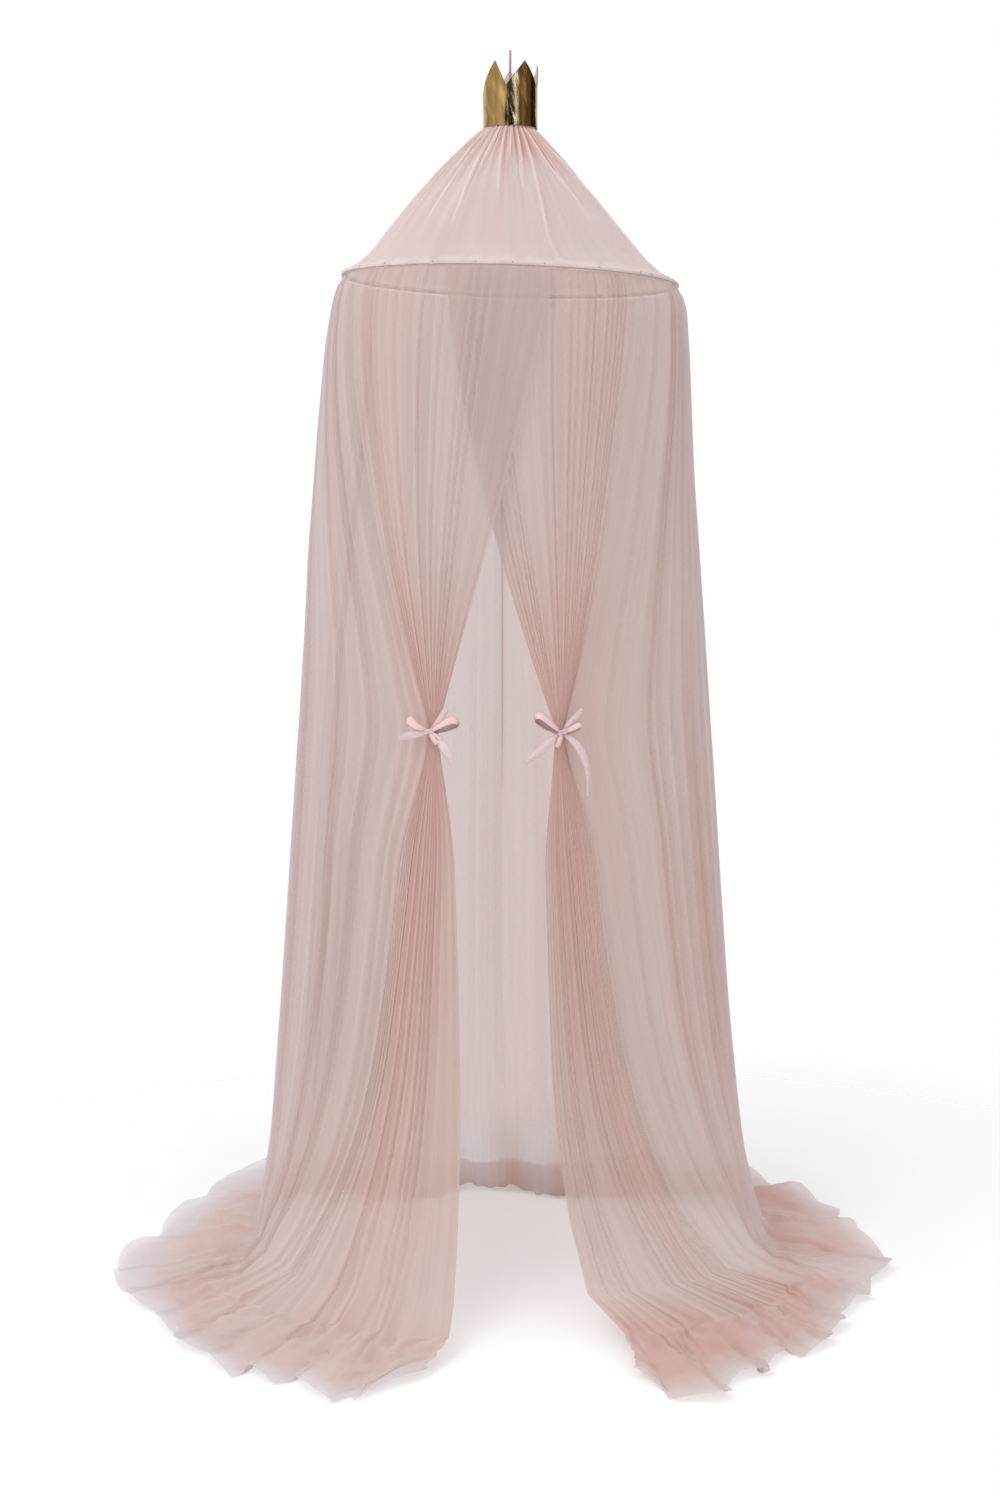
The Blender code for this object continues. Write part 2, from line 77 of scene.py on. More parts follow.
# Hanging loop. Its rows: height above the neck, half the gap between its two sides
CORD_DIAMETER = 0.004
CORD_STEP = 0.0012
CORD_BEND_RADIUS = 0.0100
CORD_BEND_ANGLES = (23, 59)
STRANDS = 3
STRAND_RADIUS = CORD_DIAMETER * 0.27
STRAND_SIDES = 7
TWIST_LENGTH = 0.0085
NECK_HEIGHT = HOOP_HEIGHT + 0.2930  # the height of the voile's first row
CORD_ROWS = (
    (-0.006, 0.0029),
    (0.012, 0.0029),
    (0.035, 0.0037),
    (0.062, 0.0068),
    (0.087, 0.0094),
)

# Crown
CROWN_RADIUS = 0.0478
CROWN_THICKNESS = 0.0012
CROWN_BUCKLES = 0.0005  # how far its sheet strays in and out
CROWN_FLARE = 0.0012
BENT_POINT = 3  # the left point leans in
BENT_BY = 0.011
BENT_WITHIN = math.radians(13)  # from its valley on
CROWN_BOTTOM = 2.0205
CROWN_VALLEY = 2.089
CROWN_TIP = 2.132
CROWN_COLUMNS = 14  # from a valley to the next tip
CROWN_ROWS = 16
# Angles of each point's valley and tip
CROWN_POINTS = ((-9, 31), (73, 103), (145, 181), (209, 234), (287, 327))

# Voile top: height above the hoop, radius, and how deep its pleats are
TOP_ROWS = (
    (0.2930, 0.0068, 0.0000),
    (0.2905, 0.0200, 0.0010),
    (0.2800, 0.0370, 0.0022),
    (0.2640, 0.0440, 0.0018),
    (0.2540, 0.0550, 0.0044),
    (0.2300, 0.0785, 0.0060),
    (0.1960, 0.1110, 0.0062),
    (0.1650, 0.1380, 0.0058),
    (0.1350, 0.1650, 0.0052),
    (0.0800, 0.2110, 0.0036),
    (0.0400, 0.2440, 0.0022),
    (0.0180, 0.2690, 0.0012),
    (0.0120, 0.2775, 0.0008),
    (0.0060, 0.2870, 0.0003),
)
# Main creases of the voile: angle at the crown, angle at the end, share of the way down, and
# height in mm
CREASES = (
    (-74, -66, 0.42, 2.6), (-58, -47, 0.3, 3.2), (-44, -42, 0.58, 4.4), (-29, -26, 0.62, 4),
    (-17, -21, 0.34, 3), (-5, -5, 0.5, 3.2), (7, 2, 0.28, 3), (18, 11, 0.42, 3.6),
    (26, 17, 0.8, 3), (29, 43, 0.46, 4.4), (43, 46, 0.56, 3.4), (52, 61, 0.38, 3.2),
    (64, 70, 0.84, 4), (84, 80, 0.4, 3.2), (103, 108, 0.55, 4), (122, 118, 0.36, 3.4),
    (138, 146, 0.62, 4), (160, 157, 0.34, 3.2), (176, 181, 0.58, 4.2), (199, 195, 0.4, 3.2),
    (214, 222, 0.66, 4), (233, 229, 0.38, 3.4), (250, 257, 0.52, 3.8), (268, 264, 0.34, 3),
)
CREASE_WIDTH = 0.0019
CREASE_TROUGH = 0.5
TOP_LEAN = -0.007  # the cone's middle height stands a little to the viewer's left
PLEATS = 38
PLEAT_COLUMNS = 24
TOP_STEP = 0.0050
PLEAT_RIDGE = 0.13
# Waves of the whole cone, and of the cloth puckered by its stitches
SAG_WAVES = ((0.0022, 5, 0.7), (0.0016, 9, 2.0))
PUCKER_WAVES = ((1.0, 61, 0.0), (1.0, 37, 1.0))
FULLY_LIT, FULLY_SHADED = 0.0024, 0.0022  # crease height at which its painted highlight is full, and trough depth at which the painted shade beside it is full
BLUSH_MIDDLE = math.radians(28)  # where the neck's deeper colour is strongest: partly the cloth the crown gathers, partly painted shade
BLUSH_HEIGHTS = (0.165, 0.255)  # above the hoop: where it starts, and where it is full
# The voile is cut in gores. The casing's ridge: its height above the hoop, how far it stands out,
# the puckers' rise, and the widths of ridge and puckers
CASING_TOP, CASING_RIDGE, PUCKER = 0.0080, 0.0017, 0.0009
CASING_RIDGE_WIDTH, PUCKER_WIDTH = 0.0017, 0.006
STITCH_PULL = 0.0008
CASING_TURN = 16  # degrees from one row round the casing to the next
# Rows of stitches round the casing: where on its round (0 outside, -90 below), how far off its
# cloth, the space from one to the next, each stitch's length and thickness, how far it may stray
# as a share of the space, and the share of stitches left out
STITCH_ROWS = (
    (-34, 0.0002, 0.0050, 0.0042, 0.0010, 0.2, 0.04),
    (-150, 0.0002, 0.0080, 0.0050, 0.0012, 0.5, 0.22),
    (28, 0.0000, 0.0700, 0.0022, 0.0021, 0.9, 0.0),
)

# Net
FOLDS_PER_SIDE = 14  # the broad folds that the solids have
GATHERED_FOLDS = 6
WEB_FOLDS = 2.5  # from the bundle at the bow back to the free wall
FINE_FOLDS = 46  # on each side
FOLD_COLUMNS = 8
WALL_STEPS = 92
FLOOR_STEPS = 32
CLOTH_WIDTH = 3.8
TOP_DRAW = 1.25  # above 1, the front is drawn in later on its way down to the bow
BOW_HEIGHT = 0.984
BOW_BAND = 0.009
BOW_RADIUS = 0.345
BOW_PITCH = 0.0028
BOW_DEPTH = 0.0022
BUNDLE_ROUND = 0.0085
DEPTH_EASES = 0.6  # below 1, the folds grow shallow sooner than they are drawn in
BOW_ROUNDING = 0.8  # how much shallower the outer folds of the bundle are
BUNDLE_OPENS = 1.5  # how much wider the bundle is two hands below the ribbon
BUNDLE_SPREAD = (0.016, 0.005)  # how far its outer and its front folds stray there
WEB_DEPTH = 0.004
HELD_CURL = 0.85  # how much less the folds curl where the bow holds them
# Height, radius, middle, depth of the folds, and how far the left front stands off the right
WALL_ROWS = (
    (HOOP_HEIGHT - 0.0062, 0.294, 0.000, 0.0022, 0.0040),
    (1.742, 0.2995, 0.000, 0.0032, 0.0060),
    (1.725, 0.305, 0.000, 0.0045, 0.0085),
    (1.665, 0.313, -0.003, 0.0065, 0.0112),
    (1.550, 0.321, -0.007, 0.0085, 0.0140),
    (1.410, 0.329, -0.010, 0.0100, 0.0160),
    (1.270, 0.339, -0.011, 0.0110, 0.0160),
    (1.140, 0.347, -0.010, 0.0115, 0.0100),
    (1.050, 0.353, -0.010, 0.0120, 0.0030),
    (BOW_HEIGHT, 0.3575, -0.010, 0.0120, 0.0000),
    (0.920, 0.362, -0.010, 0.0125, 0.0000),
    (0.820, 0.369, -0.010, 0.0125, 0.0000),
    (0.640, 0.381, -0.010, 0.0130, 0.0000),
    (0.400, 0.399, -0.009, 0.0140, 0.0000),
    (0.180, 0.423, -0.005, 0.0150, 0.0000),
    (0.070, 0.445, -0.002, 0.0160, 0.0000),
)
WALL_TOP, WALL_FOOT = WALL_ROWS[0][0], WALL_ROWS[-1][0]
FOOT_RADIUS = 0.475
# Share of the way to the hem, height, and height of the ripples
FLOOR_ROWS = (
    (0.00, 0.0330, 0.0088),
    (0.15, 0.0300, 0.0064),
    (0.40, 0.0220, 0.0026),
    (0.70, 0.0140, 0.0014),
    (1.00, 0.0085, 0.0009),
)
FLOOR_SHARES = np.linspace(0, 1, FLOOR_STEPS) ** 0.9
LOBES_PER_SIDE = 12
LOBE_REACH = 0.009
LOBE_OVERLAP = 0.020
LOBE_LIFT = 0.0075
LEAST_HEIGHT = 0.002
HEAP_HEIGHT = 0.26  # the wall is slack below this
HEAP_SLACK = 0.009
HEAP_RISE = 0.008
FLOOR_HEAP = 0.45  # share of the way to the hem within which the cloth is heaped
FLOOR_SLACK_OUT, FLOOR_SLACK_ASIDE = 0.004, 0.007  # how far the cloth strays at the hem
FLOOR_CRUMPLE = 0.0058
CRINKLE = 0.0045
STEEPEST_FOLD = 0.32  # depth of a fold over its width, at most
STEEPEST_ON_FLOOR = 0.15
SPARSE_SIDES = 0.5  # how much the net thins along both sides
SPARSE_CROSSING = 0.18  # and where its fronts cross
SPARSE_HEAP = 0.7  # and in the heap at the back,
HEAP_STRIPES = 19  # which has this many thin places to a turn
HEAP_DENSITY = 0.15  # how much denser the heap is before that
HEM_STARTS = (0.72, 0.30)  # share of the way to the hem where it turns pale: front, sides
HEM_UNLIKE = 0.55  # how much less pale the right hem is
FRONT_FLARE = 0.120  # how much further out the front panels reach the floor
FLARE_HEIGHT = 0.46
SIDE_ANGLE = 92  # degrees from the front
BACK_ANGLES = (120, 150)  # the back starts between these
BACK_HEAP = 0.155  # how far its foot stands in
BACK_HEAP_HEIGHT = 0.17
BACK_SINKS = 0.75  # how much lower its cloth starts out on the floor than the front's
BACK_LINE = -0.0131  # X of the thin line where the net overlaps itself at the back
SIDE_SMOOTHING = 0.82  # the folds are shallower at the two sides, by this much at most
EDGE_SMOOTHING = 0.5  # and beside the front edges
FOOT_SMOOTHING = 0.50  # and near the floor
BACK_SMOOTHING = 0.45
Side = namedtuple(
    "Side",
    "name sign edge_top gather_top wall_top bow wall_bow edge_foot gather_foot wall_foot"
    " edge_spread gather_spread edge_hem heaped",
)
LEFT = Side("left", -1, -12.4, 60, 86, 22.0, 72, 9.5, 52, 76, 1.7, 0.6, 11.2, 0.38)
RIGHT = Side("right", 1, -21.0, 45, 74, 13.6, 64, 17.5, 56, 80, 0.35, 0.6, 15.8, 1.15)
HEM = {  # angle from the front in degrees, reach from the middle in mm
    "left": (
        (11.2, 700), (13.3, 747), (14.7, 800), (16.2, 835), (19.1, 805), (20.3, 838), (23.5, 800),
        (25, 765), (28.1, 804), (31.4, 783), (33.5, 812), (37, 775), (39.9, 737), (42.9, 765),
        (51.1, 728), (58, 700), (60.8, 702), (64.4, 717), (67.5, 709), (74.1, 721), (80, 716),
        (85.9, 692), (93.8, 663), (100, 655), (107.8, 664), (116.3, 675), (122, 715), (132, 755),
        (140, 770), (152, 675), (158, 700), (166, 600), (172, 635), (180, 585),
    ),
    "right": (
        (15.8, 700), (16.5, 745), (17.7, 800), (19.8, 845), (22, 843), (24.9, 810), (27.7, 765),
        (29, 790), (31.6, 774), (36.1, 720), (38.9, 752), (43.1, 735), (48.7, 707), (54.2, 684),
        (60.7, 668), (63.3, 689), (68.1, 682), (73, 658), (77.7, 684), (82.9, 698), (86.4, 686),
        (92.2, 660), (95.1, 645), (99.5, 662), (105, 664), (110.3, 663), (113.6, 680), (116, 650),
        (121.5, 686), (127.2, 700), (131, 690), (138, 720), (147, 650), (154, 680), (163, 590),
        (170, 625), (176, 575), (180, 585),
    ),
}

# Bows. Each ribbon's stops in mm: across from the knot, towards the viewer, up, and its width
RIBBON_STEP = 0.0016
RIBBON_WIDTH = 0.015
RIBBON_THICKNESS, WRAP_THICKNESS = 0.0005, 0.0006
RIBBON_CUP, RIBBON_PINCH, PINCH_LENGTH = 0.10, 0.09, 0.02  # the first two as shares of its width
KNOT_OUT = 0.0182
KNOT_HALF_SIZES = (0.0084, 0.0054, 0.0062)
WRAP_HALF_WIDTH, WRAP_HALF_DEPTH, WRAP_HEIGHT = 0.0118, 0.0145, 0.0075
BOW_PARTS = {
    "left": {
        "loops": (
            ((-4, 0, 2, 6), (-18, 9, 9, 11), (-31, 10, 19, 14), (-36, 4, 20, 14),
             (-33, -3, 15, 13), (-18, -3, 5, 10), (-4, -2, -1, 6)),
            ((4, 0, 1, 6), (20, 10, 10, 11), (42, 12, 21, 14), (53, 6, 20, 14), (51, -3, 13, 13),
             (28, -4, 4, 11), (4, -2, -1, 6)),
        ),
        "short_ends": (
            ((2, 3, -2, 6), (9, 8, -9, 8), (18, 9, -20, 9)),
            ((3, 2, -1, 6), (14, 6, -7, 8), (25, 6, -13, 8)),
        ),
        "long_ends": (
            ((-3, 0, -2, 7), (-20, 4, -4, 12), (-40, 4, -9, 14), (-55, 1, -14, 6)),
            ((10, 4, -8, 9), (26, 8, -22, 14), (39, 9, -40, 13), (47, 6, -59, 5)),
            ((4, -2, 3, 7), (18, -2, 19, 12), (30, -1, 38, 10)),
        ),
    },
    "right": {
        "loops": (
            ((-4, 0, 2, 6), (-20, 10, 15, 12), (-37, 12, 29, 15), (-46, 6, 30, 15),
             (-44, -3, 21, 14), (-22, -4, 6, 11), (-4, -2, -1, 6)),
            ((4, 0, 1, 6), (14, 8, 7, 9), (26, 9, 12, 10), (31, 4, 12, 10), (28, -2, 7, 9),
             (14, -3, 1, 8), (4, -2, -1, 6)),
        ),
        "short_ends": (
            ((-1, 3, -2, 6), (-6, 8, -12, 8), (-12, 8, -24, 8)),
        ),
        "long_ends": (
            ((-4, 0, -3, 7), (-22, 6, -14, 13), (-44, 7, -32, 16), (-64, 2, -50, 5)),
            ((4, 2, -3, 7), (18, 9, -16, 12), (32, 10, -36, 14), (42, 8, -70, 8),
             (43, 4, -108, 4)),
            ((4, -2, 3, 7), (18, -2, 18, 12), (36, -1, 36, 12)),
        ),
    },
}

# Cards that only reflections show: name, angles from the front, radius, heights from the hook's,
# colour, strength, and how much darker their blotches are
REFLECTIONS = (
    ("card_left", -132, -13, 1.8, -1.1, 1.1, (1.0, 0.88, 0.74), 1.22, 0.55),
    ("card_front", -13, 13, 1.8, -1.1, 1.1, (0.10, 0.07, 0.04), 0.10, 0.3),
    ("card_strip", 16, 23, 1.7, -0.9, 1.0, (0.95, 1.15, 1.8), 8.0, 0.9),
    ("card_bronze", 28, 100, 1.8, -1.1, 1.1, (0.62, 0.42, 0.28), 0.70, 0.85),
    ("card_patch", 50, 62, 1.7, 0.05, 0.9, (0.75, 0.56, 0.42), 0.9, 0.7),
    ("card_dark", 100, 134, 1.8, -1.1, 1.1, (0.16, 0.10, 0.06), 0.25, 0.5),
)

# Thin cloth. A thread's outline, as (distance from the thread, share) stops
THREAD_EDGE = ((0.05, 1.0), (0.32, 0.0))
PATCH_TINTS = ((0.985, 1.01, 1.01), (1.015, 0.965, 0.95))  # of its broad patches
# What its threads and patches add to the cover of a flat layer
PATCH_COVER, THREAD_COVER = 0.50, 0.18
# What the second mask does: on the net where one thin layer shows, and on the voile as painted
# highlight
RIM_THINNER = 0.25
RIM_SEEN_THROUGH = (0.90, 0.88, 0.895)
VOILE_PAINTED_HIGHLIGHT = (0.96, 0.87, 0.84)  # painted highlight: the voile's colour along its crease tops and over its casing


def level(height):
    """Z of a height above the floor."""
    return height - HANG_HEIGHT


def blend(a, b, share):
    return a + (b - a) * share


def soft_step(value, low, high):
    share = np.clip((value - low) / (high - low), 0.0, 1.0)
    return share * share * (3 - 2 * share)


def bell(off, width):
    """1 in the middle, and next to nothing two widths away from it."""
    return np.exp(-((off / width) ** 2))


def waves_round(angle, waves):
    """A sum of waves, each with its height, how many go round, and where it starts."""
    return sum(height * np.cos(angle * count + start) for height, count, start in waves)


def wrapped(angle):
    """The same angle, at most half a turn either way."""
    return (angle + math.pi) % (2 * math.pi) - math.pi


def unit(vectors):
    return vectors / np.linalg.norm(vectors, axis=-1, keepdims=True)


def running(steps):
    """Where each step starts, and where the last one ends."""
    return np.concatenate([[0], np.cumsum(steps)])


def run_along(route):
    """How far along the route each of its points lies."""
    return running(np.linalg.norm(np.diff(route, axis=0), axis=1))


def uneven_marks(rng, count, variety, total):
    """Marks from 0 to the total, with a different space after each."""
    widths = rng.lognormal(0.0, variety, count)
    return running(widths / widths.sum()) * total


def stacked(*parts):
    """Points or cloth coordinates from their separate parts."""
    return np.stack(np.broadcast_arrays(*parts), axis=-1)


def through(x, xs, ys):
    """A smooth curve through a table whose xs rise."""
    slopes = np.gradient(ys, xs)
    x = np.clip(x, xs[0], xs[-1])
    i = np.clip(np.searchsorted(xs, x) - 1, 0, len(xs) - 2)
    span, rise = xs[i + 1] - xs[i], ys[i + 1] - ys[i]
    t = (x - xs[i]) / span
    pull = (slopes[i] * span - rise) * (1 - t) - (slopes[i + 1] * span - rise) * t
    return ys[i] + rise * t + t * (1 - t) * pull


def wander(rng, x, y, waves):
    """Smooth noise between about -1 and 1. waves gives the most waves per unit of x and of y."""
    total = np.zeros(np.broadcast(x, y).shape)
    count = 9
    for _ in range(count):
        across, along = rng.uniform(-1, 1, 2) * waves
        total += np.cos(2 * math.pi * (across * x + along * y + rng.uniform()))
    return total * 1.5 / count


def smooth_route(points, step):
    """A smooth curve through the points, read every step or so."""
    p = np.asarray(points, float)
    p = np.vstack([2 * p[0] - p[1], p, 2 * p[-1] - p[-2]])
    route = []
    for a, b, c, d in zip(p, p[1:], p[2:], p[3:]):
        pieces = max(1, round(np.linalg.norm((c - b)[:3]) / step))
        for t in np.arange(pieces) / pieces:
            bend = 2 * b + (c - a) * t + (2 * a - 5 * b + 4 * c - d) * t**2
            route.append((bend + (3 * b - a - 3 * c + d) * t**3) / 2)
    return np.array([*route, p[-2]])


# Meshes


def linked(name, data):
    """An object in the scene for a mesh, a light or a camera."""
    piece = bpy.data.objects.new(name, data)
    bpy.context.scene.collection.objects.link(piece)
    return piece


def sheet_object(name, points, uv, material, ring=False):
    """A smooth sheet of quads through a grid of points, with its own cloth coordinates."""
    rows, columns = points.shape[:2]
    across = np.arange(columns if ring else columns - 1)
    i, j = np.meshgrid(np.arange(rows - 1) * columns, across, indexing="ij")
    k = (j + 1) % columns
    quads = np.stack([i + j, i + columns + j, i + columns + k, i + k]).reshape(4, -1).T
    mesh = bpy.data.meshes.new(name)
    mesh.vertices.add(rows * columns)
    mesh.vertices.foreach_set("co", points.reshape(-1).astype(np.float32))
    mesh.loops.add(quads.size)
    mesh.loops.foreach_set("vertex_index", quads.reshape(-1).astype(np.int32))
    mesh.polygons.add(len(quads))
    mesh.polygons.foreach_set("loop_start", np.arange(0, quads.size, 4, dtype=np.int32))
    corners = uv.reshape(-1, 2)[quads]
    if ring:
        seam = (j == columns - 1).reshape(-1)
        corners[seam, 2:, 0] = uv[0, -1, 0] + uv[0, 1, 0] - uv[0, 0, 0]
    layer = mesh.uv_layers.new(name="cloth")
    layer.data.foreach_set("uv", corners.reshape(-1).astype(np.float32))
    mesh.update(calc_edges=True)
    mesh.validate()
    mesh.shade_smooth()
    mesh.materials.append(material)
    return linked(name, mesh)


def paint(piece, name, values):
    """Stores one number for each point of the cloth, for its finish to read."""
    layer = piece.data.attributes.new(name, "FLOAT", "POINT")
    layer.data.foreach_set("value", values.reshape(-1).astype(np.float32))


def select(pieces):
    bpy.ops.object.select_all(action="DESELECT")
    for piece in pieces:
        piece.select_set(True)
    bpy.context.view_layer.objects.active = pieces[0]


def settled(piece, sharp_from=None):
    """Applies the piece's modifiers, and keeps its cut edges crisp where asked."""
    select([piece])
    for modifier in list(piece.modifiers):
        bpy.ops.object.modifier_apply(modifier=modifier.name)
    if sharp_from:
        piece.data.set_sharp_from_angle(angle=sharp_from)
    return piece


def joined(name, pieces):
    """One object from several."""
    select(pieces)
    bpy.ops.object.join()
    pieces[0].name = pieces[0].data.name = name
    return pieces[0]


def thicken(piece, thickness, **settings):
    solid = piece.modifiers.new("thickness", "SOLIDIFY")
    solid.thickness = thickness
    solid.offset = 0.0
    for key, value in settings.items():
        setattr(solid, key, value)


def around(radius, angle, height):
    """Points at an angle from the front, counted towards +X, at a height above the floor."""
    return stacked(radius * np.sin(angle), -radius * np.cos(angle), level(height))


def tilted(points, share):
    """Lets points follow the hoop, which is lower on the viewer's right."""
    points[..., 2] -= share * points[..., 0] * math.tan(HOOP_TILT)
    return points


# Materials


def shade(colour, share):
    """The colour made darker or lighter, up to white."""
    return [min(1.0, value * share) for value in colour]


class Finish:
    """A material under construction."""

    def __init__(self, name):
        self.material = bpy.data.materials.new(name)
        self.material.use_nodes = True
        self.tree = self.material.node_tree
        self.tree.nodes.clear()

    def put(self, kind, inputs=None, output=0, **settings):
        """Adds a node, sets or joins its inputs, and gives one of its outputs."""
        node = self.tree.nodes.new("ShaderNode" + kind)
        for key, value in settings.items():
            setattr(node, key, value)
        for key, value in (inputs or {}).items():
            socket = node.inputs[key]
            if isinstance(value, bpy.types.NodeSocket):
                self.tree.links.new(value, socket)
            elif socket.type == "RGBA":
                socket.default_value = (*value, 1.0)[:4]
            else:
                socket.default_value = value
        return node.outputs[output]

    def math(self, operation, a, b, clamp=False):
        return self.put("Math", {0: a, 1: b}, operation=operation, use_clamp=clamp)

    def plus(self, a, b, clamp=False):
        return self.math("ADD", a, b, clamp)

    def less(self, a, b):
        return self.math("SUBTRACT", a, b)

    def times(self, a, b):
        return self.math("MULTIPLY", a, b)

    def mix(self, share, a, b, blend_type="MIX"):
        inputs = {0: share, 6: a, 7: b}
        return self.put("Mix", inputs, output=2, data_type="RGBA", blend_type=blend_type)

    def fade(self, value, low, high, start=0.0, end=1.0):
        """From start to end while the value goes from low to high."""
        return self.put("MapRange", {0: value, 1: low, 2: high, 3: start, 4: end})

    def ramp(self, value, *stops):
        """Reads value off two (place, grey) stops."""
        grey = self.put("ValToRGB", {0: value})
        for point, (place, shade_of_grey) in zip(grey.node.color_ramp.elements, stops):
            point.position = place
            point.color = (shade_of_grey, shade_of_grey, shade_of_grey, 1.0)
        return grey

    def noise(self, place, scale, detail=2.0):
        return self.put("TexNoise", {"Vector": place, "Scale": scale, "Detail": detail})

    def stretched(self, place, stretch):
        return self.put("VectorMath", {0: place, 1: stretch}, operation="MULTIPLY")

    def cloth(self, *stretch):
        """The cloth's own coordinates in metres, stretched across and along if asked."""
        uv = self.put("UVMap", uv_map="cloth")
        return self.stretched(uv, (*stretch, 1.0)) if stretch else uv

    def place(self, *stretch):
        """The object's own coordinates in metres, stretched if asked."""
        here = self.put("TexCoord", output="Object")
        return self.stretched(here, stretch) if stretch else here

    def painted(self, name):
        """What paint() has stored under this name."""
        return self.put("Attribute", output="Fac", attribute_name=name)

    def bump(self, height, distance, strength, normal=None):
        inputs = {"Height": height, "Distance": distance, "Strength": strength}
        if normal:
            inputs["Normal"] = normal
        return self.put("Bump", inputs)

    def layered(self, share, lower, upper):
        return self.put("MixShader", {0: share, 1: lower, 2: upper})

    def clear(self, colour=(1.0, 1.0, 1.0)):
        return self.put("BsdfTransparent", {"Color": colour})

    def done(self, shader):
        end = self.tree.nodes.new("ShaderNodeOutputMaterial")
        end.is_active_output = True
        self.tree.links.new(shader, end.inputs["Surface"])
        return self.material


def sheer_cloth(name, colour, dense_colour, thin_and_highlight_colour, *, cover, edge_cover, light_through,
                weave, streaks, streak_share, seen_through):
    """Thin cloth. cover is how much of the light a flat layer stops, seen_through tints the rest.

    It turns dense where its gathered mask is painted, and pale and thinner by a second mask. On
    the net these mark its gathered and its thin places; on the voile the gathered mask also holds
    painted shade, and the second mask holds painted highlight.
    """
    fin = Finish(name)
    streak = fin.noise(fin.cloth(streaks, 3.0), 1.0, 3.0)
    patch = fin.noise(fin.cloth(2.6, 0.5), 1.0)
    inputs = {"Vector": fin.cloth(weave, weave), "Scale": 1.0}
    thread = fin.ramp(fin.put("TexVoronoi", inputs, feature="DISTANCE_TO_EDGE"), *THREAD_EDGE)
    uneven = fin.times(fin.less(streak, 0.5), streak_share)
    uneven = fin.plus(fin.plus(uneven, 0.15), fin.times(patch, PATCH_COVER))
    uneven = fin.plus(uneven, fin.times(thread, THREAD_COVER))
    facing = fin.put("LayerWeight", {"Blend": 0.5}, output="Facing")
    edge = fin.times(fin.math("POWER", facing, 3.0), edge_cover)
    covered = fin.plus(fin.times(fin.plus(uneven, 0.49), cover), edge, clamp=True)
    tint = fin.mix(streak, shade(colour, 0.93), shade(colour, 1.05))
    broad = fin.mix(fin.fade(patch, 0.38, 0.62), *PATCH_TINTS)
    tint = fin.mix(1.0, tint, broad, blend_type="MULTIPLY")

    # Second mask: the net's thin single layers, and on the voile a painted highlight along its
    # creases and casing
    thin_and_highlight = fin.painted("thin_and_highlight")
    tint = fin.mix(thin_and_highlight, tint, thin_and_highlight_colour)
    covered = fin.times(covered, fin.less(1.0, fin.times(thin_and_highlight, RIM_THINNER)))
    seen_through = fin.mix(thin_and_highlight, seen_through, RIM_SEEN_THROUGH)

    # Gathered mask: the net's dense cloth, and on the voile also painted shade at the neck and
    # beside its creases
    tight = fin.painted("gathered")
    tint = fin.mix(tight, tint, fin.mix(streak, shade(dense_colour, 0.95), dense_colour))
    covered = fin.plus(covered, fin.times(tight, fin.less(0.97, covered)), clamp=True)
    light_through = fin.less(light_through, fin.times(tight, 0.2))

    front = fin.put("BsdfDiffuse", {"Color": tint, "Roughness": 1.0})
    body = fin.layered(light_through, front, fin.put("BsdfTranslucent", {"Color": tint}))
    return fin.done(fin.layered(covered, fin.clear(seen_through), body))


def gilt_sheet(colour, colour_edge):
    """Metallic foil on stiff sheet: creases, fine grain, rubbed patches, painted shade in the
    creases and a darker cut edge.
    """
    fin = Finish("gilt")
    turned = fin.put("Mapping", {"Vector": fin.place(), "Rotation": (0.0, 0.35, 0.0)})
    inputs = {"Vector": fin.stretched(turned, (1.0, 1.0, 0.16)), "Scale": 95.0}
    creases = fin.put("TexVoronoi", inputs, feature="SMOOTH_F1")
    dents = fin.noise(fin.place(1.0, 1.0, 0.45), 48.0, 3.0)
    grain = fin.noise(fin.place(), 620.0)
    patches = fin.noise(fin.place(1.0, 1.0, 0.6), 30.0, 4.0)
    tint = fin.mix(patches, shade(colour, 0.72), shade(colour, 1.12))
    from_edge = fin.put("SeparateXYZ", {0: fin.cloth()}, output=1)
    tint = fin.mix(fin.fade(from_edge, 0.0009, 0.0022, 1.0, 0.0), tint, colour_edge)
    # Painted shade: darker along the creases
    tint = fin.mix(fin.fade(creases, 0.26, 0.50, 0.0, 0.75), tint, shade(colour, 0.45))
    normal = fin.bump(dents, 0.0020, 0.5)
    normal = fin.bump(creases, 0.0012, 0.70, normal)
    normal = fin.bump(grain, 0.00032, 0.50, normal)
    rough = fin.plus(fin.times(patches, 0.16), 0.09)
    inputs = {"Base Color": tint, "Roughness": rough, "Metallic": 1.0, "Normal": normal}
    return fin.done(fin.put("BsdfPrincipled", inputs))


def plain_finish(name, colour, roughness, speckle=0.12, scale=600.0):
    """A matt finish with a fine speckle of its own."""
    fin = Finish(name)
    spots = fin.noise(fin.place(), scale, 3.0)
    tint = fin.mix(spots, shade(colour, 1 - speckle), shade(colour, 1 + speckle))
    inputs = {"Base Color": tint, "Roughness": roughness, "Normal": fin.bump(spots, 0.0002, 0.5)}
    return fin.done(fin.put("BsdfPrincipled", inputs))


def backing_cloth():
    """The woven back of the gilt sheet: a fine crosswise hatch."""
    fin = Finish("crown_backing")
    inputs = {"Vector": fin.place(), "Scale": 260.0, "Distortion": 1.0}
    hatch = fin.put("TexWave", inputs, "Fac", wave_type="BANDS", bands_direction="DIAGONAL")
    colour = fin.mix(hatch, (0.56, 0.46, 0.42), (0.74, 0.66, 0.62))
    inputs = {"Base Color": colour, "Roughness": 0.9, "Normal": fin.bump(hatch, 0.0003, 0.6)}
    return fin.done(fin.put("BsdfPrincipled", inputs))


